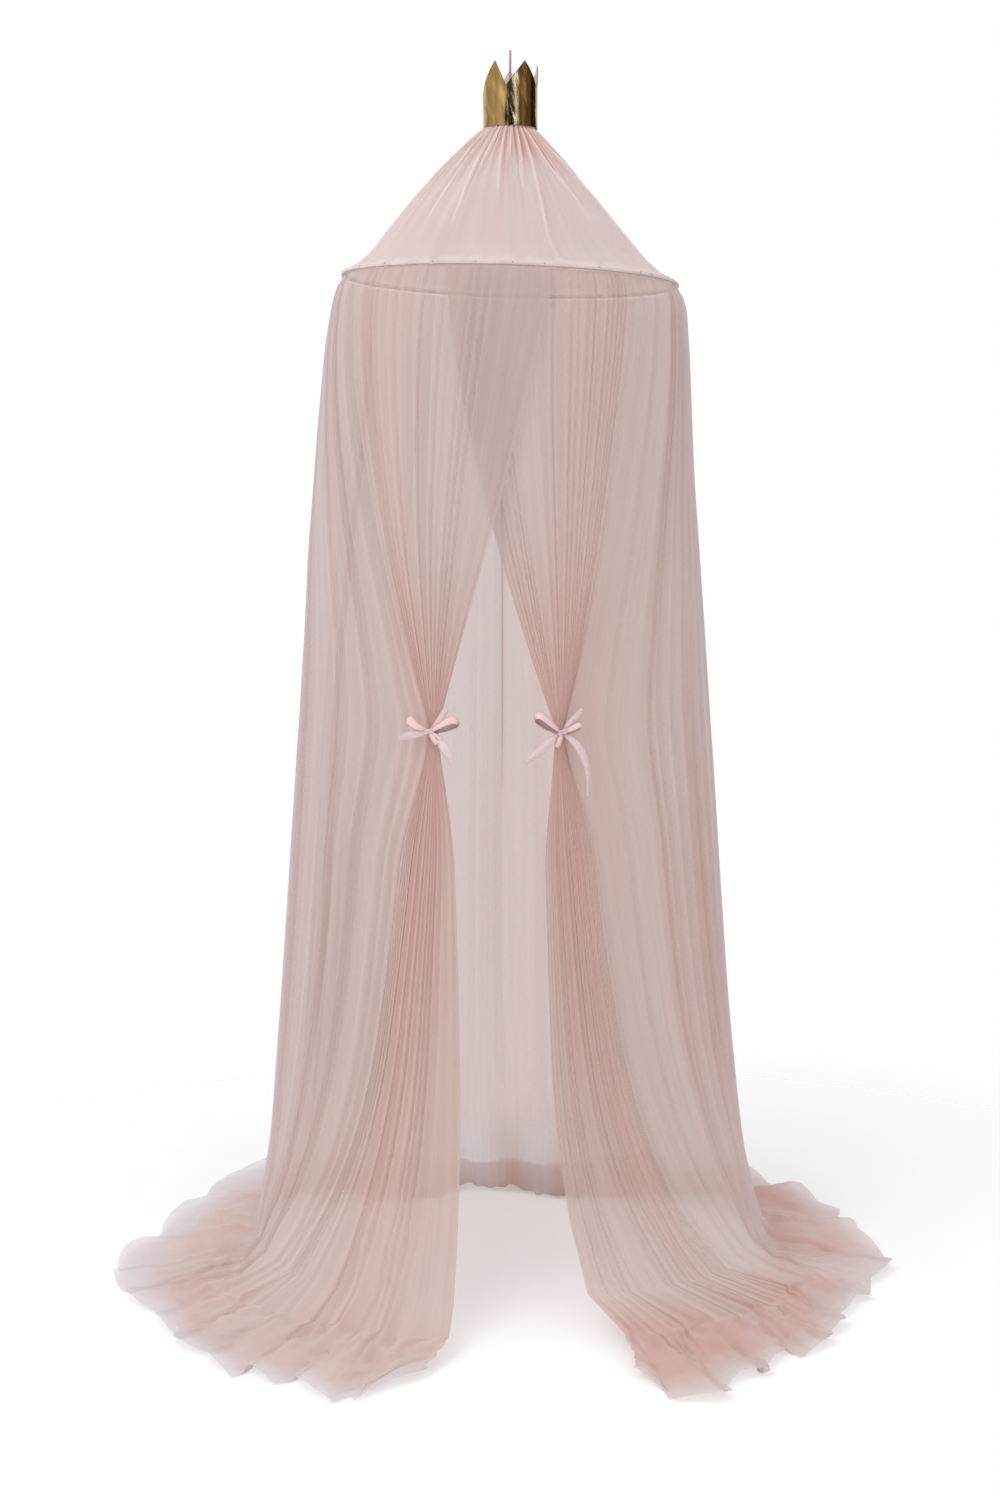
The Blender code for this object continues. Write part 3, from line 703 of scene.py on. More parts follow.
def satin(name, colour, cover, shaded):
    """Ribbon: fine ribs across it, a soft sheen, and shaded where it is painted "under"."""
    fin = Finish(name)
    inputs = {"Vector": fin.cloth(), "Scale": 380.0, "Distortion": 0.4}
    ribs = fin.put("TexWave", inputs, "Fac", wave_type="BANDS", bands_direction="Y")
    soft = fin.noise(fin.cloth(30.0, 60.0), 1.0)
    weave = fin.plus(fin.times(ribs, 0.3), fin.times(soft, 0.7))
    tint = fin.mix(weave, shade(colour, 0.90), shade(colour, 1.06))
    tint = fin.mix(fin.painted("under"), tint, shaded)
    inputs = {"Base Color": tint, "Roughness": 0.38, "Sheen Weight": 0.3, "Sheen Roughness": 0.4,
              "Normal": fin.bump(ribs, 0.0001, 0.4)}
    front = fin.put("BsdfPrincipled", inputs)
    body = fin.layered(0.25, front, fin.put("BsdfTranslucent", {"Color": tint}))
    if cover >= 1.0:
        return fin.done(body)
    thin = fin.plus(fin.times(soft, 0.3), cover - 0.15, clamp=True)
    return fin.done(fin.layered(thin, fin.clear(), body))


def glow(name, colour, strength, blotches):
    """Light with soft darker blotches."""
    fin = Finish(name)
    spots = fin.fade(fin.noise(fin.place(1.0, 1.0, 0.5), 2.2), 0.35, 0.65)
    tint = fin.mix(spots, shade(colour, 1 - blotches), colour)
    return fin.done(fin.put("Emission", {"Color": tint, "Strength": strength}))


def floor_finish(reach):
    """Pale floor that fades away with distance."""
    fin = Finish("floor")
    here = fin.place()
    far = fin.put("VectorMath", {0: here}, "Value", operation="LENGTH")
    gone = fin.fade(far, reach * 0.20, reach * 0.62, start=0.20)
    colour = fin.mix(fin.noise(here, 3.0, 3.0), (0.93, 0.93, 0.93), (0.96, 0.96, 0.96))
    ground = fin.put("BsdfDiffuse", {"Color": colour, "Roughness": 1.0})
    return fin.done(fin.layered(gone, ground, fin.clear()))


# Hanging loop


def cord_route():
    """Points from the neck up over the hook and back down to the neck."""
    top = HANG_HEIGHT + CORD_DIAMETER / 2
    half = [(half_gap, NECK_HEIGHT + above) for above, half_gap in CORD_ROWS]
    for angle in map(math.radians, CORD_BEND_ANGLES):
        rise = top - CORD_BEND_RADIUS * (1 - math.sin(angle))
        half.append((CORD_BEND_RADIUS * math.cos(angle), rise))
    route = [(0, -y, level(h)) for y, h in half] + [(0, 0, level(top))]
    return route + [(0, y, level(h)) for y, h in reversed(half)]


def make_hanging_loop(colour):
    """Thin strands twisted into one cord, along the loop's own route."""
    route = smooth_route(cord_route(), CORD_STEP)
    side = np.array([1.0, 0.0, 0.0])
    lift = np.cross(unit(np.gradient(route, axis=0)), side)
    run = run_along(route)
    material = plain_finish("cord", colour, 0.75, speckle=0.2, scale=1500.0)

    def beside(turn):
        """From a line of the cord to a strand's radius away from it, at an angle."""
        return STRAND_RADIUS * (np.cos(turn) * side + np.sin(turn) * lift)

    meshes = []
    corners = 2 * math.pi * np.arange(STRAND_SIDES) / STRAND_SIDES
    for number in range(STRANDS):
        turn = 2 * math.pi * (run / TWIST_LENGTH + number / STRANDS)
        centre = route + beside(turn[:, None])
        points = np.stack([centre + beside(corner) for corner in corners], axis=1)
        caps = np.repeat(points.mean(axis=1, keepdims=True), STRAND_SIDES, axis=1)
        points = np.concatenate([caps[:1], points, caps[-1:]])
        uv = stacked(np.arange(STRAND_SIDES) * 0.0004, np.pad(run, 1, mode="edge")[:, None])
        meshes.append(sheet_object(f"cord_strand_{number}", points, uv, material, ring=True))
    return joined("cord", meshes), route, float(run[-1])


# Crown


def make_crown(colour, colour_edge):
    """The ring of gilt sheet, its upper edge cut in points and one of them bent in."""
    marks = [angle for point in CROWN_POINTS for angle in point] + [CROWN_POINTS[0][0] + 360]
    columns = np.arange((len(marks) - 1) * CROWN_COLUMNS) / CROWN_COLUMNS
    angles = np.radians(np.interp(columns, range(len(marks)), marks))
    edge = blend(CROWN_VALLEY, CROWN_TIP, 1 - np.abs(1 - columns % 2))
    height = blend(CROWN_BOTTOM, edge, np.linspace(0, 1, CROWN_ROWS)[:, None])
    turned = np.tile(angles, (CROWN_ROWS, 1))
    rng = np.random.default_rng(21)
    buckles = CROWN_BUCKLES * wander(rng, turned, height * 20, (1.0, 0.6))
    radius = CROWN_RADIUS - 0.0002 + buckles
    radius += CROWN_FLARE * soft_step(height, CROWN_VALLEY - 0.01, CROWN_TIP)
    start, end = (math.radians(valley) for valley, _ in CROWN_POINTS[BENT_POINT:BENT_POINT + 2])
    bent = soft_step(angles, start, start + BENT_WITHIN) * (angles < end)
    radius -= BENT_BY * bent * soft_step(height, CROWN_VALLEY - 0.012, CROWN_TIP)
    points = around(radius, turned, height)
    uv = stacked(turned * CROWN_RADIUS, edge - height)
    gilt = gilt_sheet(colour, colour_edge)
    crown = sheet_object("crown_shell", points[::-1], uv[::-1], gilt, ring=True)
    crown.data.materials.append(plain_finish("crown_edge", colour_edge, 0.6))
    crown.data.materials.append(backing_cloth())
    thicken(crown, CROWN_THICKNESS, use_rim=True, material_offset=2, material_offset_rim=1)
    return settled(crown, math.radians(35))


# Voile top


def creases_at(angle, down, radius):
    """How far the main creases lift the voile at one height."""
    total = np.zeros(angle.shape)
    for start, end, reach, millimetres in CREASES:
        along = down / reach
        middle = math.radians(blend(start, end, min(1.0, along)))
        height = millimetres / 1000 * soft_step(1.35 - along, 0.0, 0.6)
        height = height * soft_step(down, 0.06, 0.13)
        off = wrapped(angle - middle) * radius / (CREASE_WIDTH * (0.7 + 0.8 * along))
        lift = height * (bell(off, 1.0) - CREASE_TROUGH * np.exp(-((off - 2.3) ** 2) / 2))
        total = np.where(np.abs(lift) > np.abs(total), lift, total)
    return total


def make_top(colour, blush, pleat_scale):
    """The pleated cone from its neck down, and its casing over the hoop and back in under it."""
    rng = np.random.default_rng(5)
    marks = np.arange(PLEATS + 1)
    phase = np.arange(PLEATS * PLEAT_COLUMNS) / PLEAT_COLUMNS

    def all_round(values):
        """From each pleat's value to the next one's, and from the last to the first's."""
        return np.interp(phase, marks, np.append(values[:PLEATS], values[0]))

    angle = np.interp(phase, marks, uneven_marks(rng, PLEATS, 0.35, 2 * math.pi))
    deep = all_round(rng.uniform(0.35, 1.3, PLEATS + 1))
    far = 0.75 * all_round(rng.uniform(0.15, 1.0, PLEATS + 1) ** 1.4)
    lean = np.interp(phase, marks, np.append(rng.uniform(-1, 1, PLEATS), 0))
    sharp = all_round(rng.uniform(0.15, 1.25, PLEATS + 1))
    wave = np.cos(2 * math.pi * phase)
    ridge = bell(phase % 1.0 - 0.5, PLEAT_RIDGE)
    puckers, sag = waves_round(angle, PUCKER_WAVES), waves_round(angle, SAG_WAVES)
    aboves, radii, pleats = np.transpose(TOP_ROWS)
    path = smooth_route(np.column_stack([radii, aboves]), TOP_STEP)
    rows, lit, painted_shade = [], [], []
    for radius, above in path:
        down = 1 - above / aboves[0]
        pleat = np.interp(above, aboves[::-1], pleats[::-1]) * pleat_scale
        dies = 1 - soft_step(down, far, far + 0.35)
        at_casing = bell(above - CASING_TOP, CASING_RIDGE_WIDTH)
        folded = creases_at(angle, down, radius)
        crest = pleat * dies * (0.35 * deep * wave + sharp * ridge)
        crest = crest + CASING_RIDGE * at_casing * (1 + 0.55 * puckers)
        crest = crest - pleat * (1 - 0.8 * down) * (0.5 - 0.5 * wave) + folded
        # Painted highlight on the crease tops and the casing's ridge, and painted shade in the
        # troughs beside the creases
        lit.append(np.clip(folded / FULLY_LIT + at_casing * (0.7 + 0.2 * puckers), 0, 1))
        painted_shade.append(np.clip(-folded / FULLY_SHADED, 0, 1))
        slide = lean * dies * 0.5 * pleat / max(radius, 0.02) * ridge
        rise = sag * math.sin(math.pi * down)
        rise = rise + PUCKER * puckers * bell(above - CASING_TOP, PUCKER_WIDTH)
        ring = around(radius + crest, angle + slide, HOOP_HEIGHT + above + rise)
        ring[:, 0] += TOP_LEAN * math.sin(math.pi * down)
        rows.append(tilted(ring, down))

    # The casing, pulled up a little at each stitch
    pulled = STITCH_PULL * wander(rng, angle * 10, 0.0, (1.5, 0))
    turns = np.radians(np.arange(60, -200, -CASING_TURN))
    for turn in turns:
        radius = HOOP_RADIUS + (CASING_RADIUS + pulled * (turn < 0)) * math.cos(turn)
        above = CASING_RADIUS * math.sin(turn) + pulled * 0.6
        rows.append(tilted(around(radius, angle, HOOP_HEIGHT + above), 1.0))
    run = run_along(path)
    rolled = CASING_RADIUS * math.radians(CASING_TURN) * np.arange(1, len(turns) + 1)
    uv = stacked(angle * HOOP_RADIUS, np.append(run, run[-1] + rolled)[:, None])
    cloth = sheer_cloth("voile", colour, blush, VOILE_PAINTED_HIGHLIGHT, cover=0.95, edge_cover=0.2,
                        light_through=0.35, weave=1400.0, streaks=16.0, streak_share=0.30,
                        seen_through=(1.0, 0.98, 0.97))
    top = sheet_object("voile_cone", np.array(rows), uv, cloth, ring=True)

    # Painted highlight over the casing's rows, uneven round it
    casing = 0.6 + 0.4 * wander(rng, angle * 4, 0.0, (1.5, 0))
    lit = np.array(lit + [casing] * len(turns))
    painted_shade = np.array(painted_shade + [np.zeros_like(angle)] * len(turns))
    near_neck = np.append(soft_step(path[:, 1], *BLUSH_HEIGHTS), np.zeros(len(turns)))
    # The neck is painted deeper pink: partly the gathered cloth's own colour, partly painted shade
    # under the crown, strongest towards BLUSH_MIDDLE and in the pleats' hollows
    flushed = 0.12 + 0.88 * bell(wrapped(angle - BLUSH_MIDDLE), 0.7)
    flushed = np.minimum(1.0, flushed * (0.55 - 0.45 * wave))
    blushing = 1.7 * near_neck[:, None] * flushed
    # The gathered mask takes the neck colour and the painted shade, less where highlit; the second
    # mask takes the painted highlight
    paint(top, "gathered", np.minimum(1.0, blushing + 0.45 * painted_shade) * (1 - 0.8 * lit))
    paint(top, "thin_and_highlight", lit)
    return top


def make_seam(colour):
    """The rows of stitches that hold the net under the casing, and the small holes beside them."""
    ball = bmesh.new()
    bmesh.ops.create_uvsphere(ball, u_segments=6, v_segments=4, radius=0.5)
    corners = np.array([corner.co for corner in ball.verts])
    faces = [[corner.index for corner in face.verts] for face in ball.faces]
    ball.free()
    rng = np.random.default_rng(8)
    points, quads = [], []
    for turn, lift, every, length, thick, stray, missing in STITCH_ROWS:
        count = int(2 * math.pi * HOOP_RADIUS / every)
        turn, away = math.radians(turn), CASING_RADIUS + lift
        radius, height = HOOP_RADIUS + away * math.cos(turn), HOOP_HEIGHT + away * math.sin(turn)
        for number in range(count):
            angle = (number + 0.5 * rng.uniform(-stray, stray)) / count * 2 * math.pi
            if rng.uniform() < missing:
                continue
            turned = np.array(Matrix.Rotation(angle, 3, "Z"))
            stitch = (corners * (length, thick, thick)) @ turned.T
            quads += [[corner + len(points) * len(corners) for corner in face] for face in faces]
            points.append(stitch + tilted(around(radius, angle, height), 1.0))
    mesh = bpy.data.meshes.new("seam")
    mesh.from_pydata(np.concatenate(points).tolist(), [], quads)
    mesh.shade_smooth()
    mesh.materials.append(plain_finish("thread", colour, 0.8))
    return linked("seam", mesh)


# Net


def drawn_in(height, side, fold):
    """How far the front is drawn towards the bow: 0 at hoop and floor, 1 at the bow."""
    if height >= BOW_HEIGHT:
        share = min(1.0, max(0.0, (WALL_TOP - height) / (WALL_TOP - BOW_HEIGHT - BOW_BAND)))
        return np.full(fold.shape, share**TOP_DRAW)
    spread = blend(side.edge_spread, side.gather_spread, np.minimum(1.0, fold / GATHERED_FOLDS))
    return min(1.0, height / (BOW_HEIGHT - BOW_BAND)) ** spread


def wall_angles(height, side):
    """The angles of edge, gather and wall, before the bow draws them in."""
    above = height >= BOW_HEIGHT
    at_fold = 0.0 if above else float(GATHERED_FOLDS)
    eased = soft_step(drawn_in(height, side, np.array([at_fold]))[0], 0.0, 1.0)
    if above:
        return side.edge_top, side.gather_top, blend(side.wall_top, side.wall_bow, eased)
    return side.edge_foot, side.gather_foot, blend(side.wall_foot, side.wall_bow, eased)


def angle_at(fold, edge, gather, wall):
    stations = (0, GATHERED_FOLDS, GATHERED_FOLDS + WEB_FOLDS, FOLDS_PER_SIDE)
    return np.radians(np.interp(fold, stations, (edge, gather, wall, 180)))


def directions(angle):
    """Outwards and onwards in plan, at an angle from the front."""
    return stacked(np.sin(angle), -np.cos(angle)), stacked(np.cos(angle), np.sin(angle))


def bundled(height, side, fold):
    """Where the gathered folds lie in plan, and how far their bundle has opened."""
    ahead, across = directions(math.radians(side.bow))
    opened = 1 + BUNDLE_OPENS * soft_step(BOW_HEIGHT - height, 0.004, 0.240)
    inner = np.minimum(fold, GATHERED_FOLDS)
    outer = inner / GATHERED_FOLDS
    strayed = BUNDLE_SPREAD[0] * outer**3 - BUNDLE_SPREAD[1] * (1 - outer) ** 3
    places = (inner - GATHERED_FOLDS / 2) * BOW_PITCH * opened + strayed * (opened - 1)
    return BOW_RADIUS * ahead + across * places[:, None], opened


def smoothing(height, fold, angle):
    """The share of their usual depth that the free folds keep."""
    turned = np.degrees(angle)
    smooth = 1 - SIDE_SMOOTHING * bell(turned - SIDE_ANGLE, 24)
    smooth = smooth * (1 - BACK_SMOOTHING * soft_step(turned, 140, 172))
    smooth = smooth * (1 - EDGE_SMOOTHING * (1 - soft_step(fold, 0.5, 5.0)))
    return smooth * (1 - FOOT_SMOOTHING * soft_step(0.50 - height, 0.0, 0.40))


def wall_row(height, side, folds):
    """One row of points of the wall, with its fine folds."""
    heights, *columns = np.transpose(WALL_ROWS[::-1])
    radius, middle, crest, stand_off = (through(height, heights, column) for column in columns)
    fold = folds["fold"]
    edge, gather, wall = wall_angles(height, side)
    angle = angle_at(fold, edge, gather, wall)
    drawn = drawn_in(height, side, fold)
    web = np.clip((fold - GATHERED_FOLDS) / WEB_FOLDS, 0.0, 1.0)
    held = blend(drawn, soft_step(drawn, 0.0, 1.0), web)
    held = np.where(fold > GATHERED_FOLDS + WEB_FOLDS, 0.0, held)

    # The row in plan without its folds, and the way out and on from each of its points
    hub = np.array([side.sign * middle, 0.0])
    hung = hub + radius * directions(angle)[0]
    free = hub + radius * directions(math.radians(wall))[0]
    pressed, opened = bundled(height, side, fold)
    base = blend(hung, blend(pressed, free, web[:, None]), held[:, None])
    way = blend(angle, blend(math.radians(side.bow), angle, web), held)
    out, aside = directions(way)

    # Its folds, squeezed where they are held
    from_middle = np.clip(fold / GATHERED_FOLDS * 2 - 1, -1, 1)
    rounded = np.sqrt(1 - BOW_ROUNDING * from_middle**2)
    smooth = smoothing(height, fold, angle)
    free_depth = crest * folds["deep"](height) * smooth
    squeezed = np.where(fold > GATHERED_FOLDS, blend(WEB_DEPTH, free_depth, web),
                        BOW_DEPTH * rounded * opened**0.5)
    depth = blend(free_depth, squeezed, held**DEPTH_EASES)
    depth = np.minimum(depth, STEEPEST_FOLD * fold_widths(base))
    phase = folds["phase"](height)
    curl = folds["curl"](height) * depth * (1 - HELD_CURL * held) * smooth
    sunk = (crest - depth) * (1 - held)
    swell = BUNDLE_ROUND * (rounded - 0.6) * (fold < GATHERED_FOLDS) * held
    crossing = -side.sign * stand_off * np.maximum(0.0, 1 - fold / GATHERED_FOLDS)
    slack = HEAP_SLACK * max(0.0, 1 - height / HEAP_HEIGHT) * folds["crumple"](height * 3)
    outwards = depth * np.cos(phase) + sunk + swell + crossing
    outwards = outwards + foot_shift(height, angle, folds) + slack
    onwards = curl * np.sin(2 * phase) + folds["lean"] * depth * np.cos(phase) + 0.5 * slack
    plan = base + out * outwards[:, None] + aside * onwards[:, None]
    tilt = max(0.0, (height - TILT_FADES_AT) / (HOOP_HEIGHT - TILT_FADES_AT))
    return tilted(stacked(side.sign * plan[:, 0], plan[:, 1], level(height)), tilt)


def foot_shift(height, angle, folds):
    """How far out the wall's foot stands: the front panels flare, the back heaps up inside."""
    turned = np.degrees(angle)
    flare = FRONT_FLARE * (1 - soft_step(turned, 45, 80))
    flare = flare * max(0.0, 1 - height / FLARE_HEIGHT) ** 2
    heap = BACK_HEAP * soft_step(turned, *BACK_ANGLES)
    heap = heap * soft_step(BACK_HEAP_HEIGHT - height, 0.0, BACK_HEAP_HEIGHT)
    return flare - heap * (0.7 + 0.5 * folds["heap"](0.0))


def gathered(height, folds):
    """How tightly the bow has gathered the cloth: 1 at the bow, 0 away from it."""
    fold, above, below = folds["fold"], height - BOW_HEIGHT, BOW_HEIGHT - height
    apart = soft_step(below, 0.02, 0.30)
    start, end = GATHERED_FOLDS - 0.5 - 2.5 * apart, GATHERED_FOLDS + 1.0 + 0.8 * apart
    free_edge = 1 - 0.55 * apart * (1 - soft_step(fold, 0.0, 2.2))
    pulled = (1 - soft_step(above, 0.0, 0.40)) * (1 - soft_step(below, 0.05, 1.30))
    heaped = HEAP_DENSITY * soft_step(fold, 11.0, 13.0) * soft_step(0.15 - height, 0.0, 0.14)
    heaped = heaped * (0.6 + 1.2 * folds["crumple"](3 * height))
    return np.clip(heaped + (1 - soft_step(fold, start, end)) * free_edge * pulled, 0.0, 1.0)


def floor_density(share, side, folds):
    """The same for the cloth on the floor, which lies in soft clouds."""
    cloud = 0.55 + 0.75 * folds["crumple"](0.6 * share) + 0.4 * folds["heap"](share)
    dense = np.clip(gathered(0.0, folds) + side.heaped * np.clip(cloud, 0.0, 1.6), 0.0, 1.0)
    return dense * (1 - soft_step(share, 0.50, 0.98))


def fold_widths(places):
    """How wide the fine folds are along a row of places."""
    step = np.linalg.norm(np.gradient(places, axis=0), axis=1) * FOLD_COLUMNS
    even = np.ones(2 * FOLD_COLUMNS + 1) / (2 * FOLD_COLUMNS + 1)
    return np.convolve(np.pad(step, FOLD_COLUMNS, mode="edge"), even, mode="valid")


def floor_row(share, side, folds):
    """One row of points of the cloth on the floor, from the wall's foot (0) to the hem (1)."""
    shares, heights, ripples = np.transpose(FLOOR_ROWS)
    hem_angles, hem_reaches = np.transpose(HEM[side.name])
    edge = blend(side.edge_foot, side.edge_hem, share)
    angle = angle_at(folds["fold"], edge, side.gather_foot, side.wall_foot)
    lobe, size, fine = folds["lobe"], folds["lobe_size"], folds["phase"](0.0)
    reach = np.interp(np.degrees(angle), hem_angles, hem_reaches / 1000)
    reach = reach + LOBE_REACH * size * (np.abs(np.cos(lobe / 2)) * 2 - 1)
    ripple = np.interp(share, shares, ripples) * folds["deep"](-share)
    ripple = np.minimum(ripple, STEEPEST_ON_FLOOR * fold_widths((reach * angle)[:, None]))
    turn = soft_step(share, 0.0, 0.18) * math.pi / 2
    heap = max(0.0, 1 - share / FLOOR_HEAP)
    back = soft_step(np.degrees(angle), *BACK_ANGLES) * (1 - share)
    slack = folds["crumple"](-share * 2)

    radius = blend(FOOT_RADIUS + foot_shift(0.0, angle, folds), reach, share)
    radius = radius + ripple * np.cos(fine) * math.cos(turn)
    radius = radius + (HEAP_SLACK * heap + FLOOR_SLACK_OUT * share) * slack

    aside = LOBE_OVERLAP * size * share**1.2 * np.sin(lobe)
    aside = aside + folds["curl"](0.0) * ripple * (1 - 0.7 * share) * np.sin(2 * fine)
    stray = 0.5 * HEAP_SLACK * heap + FLOOR_SLACK_ASIDE * share
    aside = aside + stray * folds["crumple"](1.7 - share * 2)

    height = np.interp(share, shares, heights) * (1 - BACK_SINKS * back)
    height = height + ripple * np.cos(fine) * max(0.3, math.sin(turn)) * (1 - 0.6 * back)
    height = height + CRINKLE * np.abs(folds["crinkle"](share)) * soft_step(share, 0.05, 0.3)
    height = height + LOBE_LIFT * (np.cos(lobe) + 0.8 * np.sin(lobe)) * share
    height = height + FLOOR_CRUMPLE * folds["crumple"](share)
    height = height + HEAP_RISE * heap * np.maximum(0, slack)
    height = np.maximum(height, LEAST_HEIGHT + 0.0004 * (1 + np.cos(lobe)))
    points = around(radius, angle + aside / radius, height)
    points[:, 0] *= side.sign
    return points


def fold_plan(rng):
    """Where the fine folds of one side lie, and how each differs from the next."""
    marks = np.arange(FINE_FOLDS + 1)
    phase = np.arange(FINE_FOLDS * FOLD_COLUMNS + 1) / FOLD_COLUMNS
    fold = np.interp(phase, marks, uneven_marks(rng, FINE_FOLDS, 0.50, FOLDS_PER_SIDE))
    depth, lean, curl = (
        np.interp(phase, marks, rng.uniform(low, high, FINE_FOLDS + 1))
        for low, high in ((0.15, 1.20), (-0.28, 0.28), (0.0, 0.20))
    )
    lobe_marks = uneven_marks(rng, LOBES_PER_SIDE, 0.35, FOLDS_PER_SIDE)
    size = np.interp(fold, lobe_marks, rng.uniform(0.4, 1.5, LOBES_PER_SIDE + 1))
    seeds = rng.integers(1, 10**6, 5)

    def noise(number, *waves):
        return lambda height: wander(np.random.default_rng(seeds[number]), fold, height, waves)

    slow, quick, sway = noise(0, 0.5, 1.2), noise(1, 1.6, 0.9), noise(3, 0.35, 0.9)
    return {
        "fold": fold,
        "phase": lambda height: 2 * math.pi * phase + 1.1 * sway(height),
        "deep": lambda height: depth * (1 + 0.35 * slow(height)),
        "curl": lambda height: np.maximum(0.0, curl * (1 + 0.8 * quick(height))),
        "lean": lean,
        "lobe": 2 * math.pi * np.interp(fold, lobe_marks, np.arange(LOBES_PER_SIDE + 1)),
        "lobe_size": size * soft_step(fold, 0.0, 0.6),
        "crumple": noise(2, 1.4, 3.5),
        "crinkle": noise(4, 3.2, 4.5),
        "heap": noise(0, 0.55, 0.0),
    }


def net_side(side, rng):
    """The points of one side from its front edge to the back, their folds, and how tight it is."""
    folds = fold_plan(rng)
    heights = np.linspace(WALL_TOP, WALL_FOOT, WALL_STEPS)
    rows = [wall_row(height, side, folds) for height in heights]
    rows += [floor_row(share, side, folds) for share in FLOOR_SHARES]
    tight = [gathered(height, folds) for height in heights]
    tight += [floor_density(share, side, folds) for share in FLOOR_SHARES]
    return np.array(rows), folds["fold"], np.array(tight)


def sparse(points, shares, from_edge):
    """Where a thin layer shows: at the hem, both sides, the crossing and the heap at the back."""
    x, y, z = np.moveaxis(points, -1, 0)
    turned = np.degrees(np.abs(np.arctan2(x, -y)))
    first = blend(*HEM_STARTS, soft_step(turned[-1], 38, 75))
    hem = soft_step((shares - first) / (1.03 - first), 0.0, 1.0) * (1 - HEM_UNLIKE * (x > 0))
    beside = SPARSE_SIDES * bell(turned - SIDE_ANGLE, 21) * (shares < 0.02)
    crossing = soft_step(z, level(1.15), level(1.45)) * (1 - soft_step(from_edge, 2.0, 5.0))
    behind = soft_step(turned, 128, 150) * soft_step(level(BACK_HEAP_HEIGHT) - z, 0.0, 0.10)
    behind = behind * (0.5 + 0.5 * np.cos(np.radians(turned) * HEAP_STRIPES))
    thin = np.maximum(beside, np.maximum(SPARSE_CROSSING * crossing, SPARSE_HEAP * behind))
    return np.maximum(hem, thin)


def make_net(colour, cover, dense_colour, thin_and_highlight_colour):
    """One sheet from the left front edge round the back to the right one."""
    rng = np.random.default_rng(11)
    left, left_folds, left_tight = net_side(LEFT, rng)
    right, right_folds, right_tight = net_side(RIGHT, rng)
    left[:, -1] = (left[:, -1] + right[:, -1]) / 2
    points = np.concatenate([left, right[:, -2::-1]], axis=1)
    tight = np.concatenate([left_tight, right_tight[:, -2::-1]], axis=1)
    from_edge = np.concatenate([left_folds, right_folds[-2::-1]])
    across = np.concatenate([left_folds, 2 * FOLDS_PER_SIDE - right_folds[-2::-1]])
    across = across * CLOTH_WIDTH / (2 * FOLDS_PER_SIDE)
    down = running(np.linalg.norm(np.diff(points, axis=0), axis=2).mean(axis=1))
    cloth = sheer_cloth("net_cloth", colour, dense_colour, thin_and_highlight_colour, cover=cover,
                        edge_cover=0.03, light_through=0.46, weave=650.0, streaks=60.0,
                        streak_share=0.16, seen_through=(0.765, 0.79, 0.82))
    net = sheet_object("net_drape", points, stacked(across, down[:, None]), cloth)
    line = bell(points[..., 0] - BACK_LINE, 0.0024) * (points[..., 1] > 0)
    line = line * soft_step(points[..., 2], level(0.70), level(1.00))
    paint(net, "gathered", np.maximum(tight, 0.8 * line))
    shares = np.append(np.zeros(WALL_STEPS), FLOOR_SHARES)[:, None]
    paint(net, "thin_and_highlight", sparse(points, shares, from_edge))
    return net


# Ribbon bows


def ribbon_object(name, stops, material, closed=False):
    """A soft strip through its stops, a little cupped across and folded at the knot."""
    across, out, up, width = np.transpose(stops) / 1000
    route = smooth_route(np.column_stack([across, -KNOT_OUT - out, up, width]), RIBBON_STEP)
    path, widths = route[:, :3], route[:, 3:]
    if closed:
        third, two_thirds = path[len(path) // 3], path[2 * len(path) // 3]
        level_way = np.cross(third - path[0], two_thirds - path[0])
    else:
        chord = path[-1] - path[0]
        level_way = np.array([-chord[2], 0.0, chord[0]])
    ways = unit(np.gradient(path, axis=0))
    faces = unit(np.cross(ways, unit(level_way)))
    sides = np.cross(faces, ways)
    places = np.linspace(-0.5, 0.5, 9)
    run = run_along(path)
    cup = RIBBON_CUP * np.cos(places * 2 * math.pi)
    pinch = RIBBON_PINCH * np.cos(places * 6 * math.pi)
    pinch = pinch * np.clip(1 - run[:, None] / PINCH_LENGTH, 0, 1)
    lifted = (cup + pinch) * widths
    points = path[:, None] + sides[:, None] * (places * widths)[..., None]
    points = points + faces[:, None] * lifted[..., None]
    uv = stacked(places * RIBBON_WIDTH, run[:, None])
    piece = sheet_object(name, points, uv, material)
    share = run / run[-1]
    # Painted shade: each loop's back half, the first few mm from the knot, one edge, and the ends
    # darker towards their tips
    under = soft_step(share, 0.46, 0.56) if closed else 0.25 * soft_step(share, 0, 1)
    under = np.maximum(under, 0.7 * (1 - soft_step(run, 0.002, 0.008)))[:, None]
    paint(piece, "under", under + 0.35 * soft_step(-places, 0.25, 0.5) * (1 - under))
    thicken(piece, RIBBON_THICKNESS)
    return settled(piece)


def knot_object(material):
    """The knot: a crossed strip pulled into a small cushion."""
    width, depth, height = KNOT_HALF_SIZES
    across, turn = np.linspace(-1, 1, 15)[:, None], np.linspace(0, 2 * math.pi, 29)[:-1]
    waist = 0.72 + 0.28 * np.abs(across) ** 1.5
    close = np.sqrt(np.clip(1 - np.abs(across) ** 6, 0.02, 1))
    ridge = 1 + 0.07 * np.cos(5 * turn)
    x, turn = np.broadcast_arrays(across * width, turn)
    y = -KNOT_OUT + depth * (waist * close) * ridge * np.cos(turn)
    z = height * (waist * close) * ridge * np.sin(turn) + x * 0.25
    knot = sheet_object("knot", stacked(x, y, z), stacked(x, turn * 0.004), material, ring=True)
    # Painted shade in five stripes round the knot, beside its ridges
    paint(knot, "under", (0.5 - 0.5 * np.cos(5 * turn + 1.5)) * 0.7)
    return knot


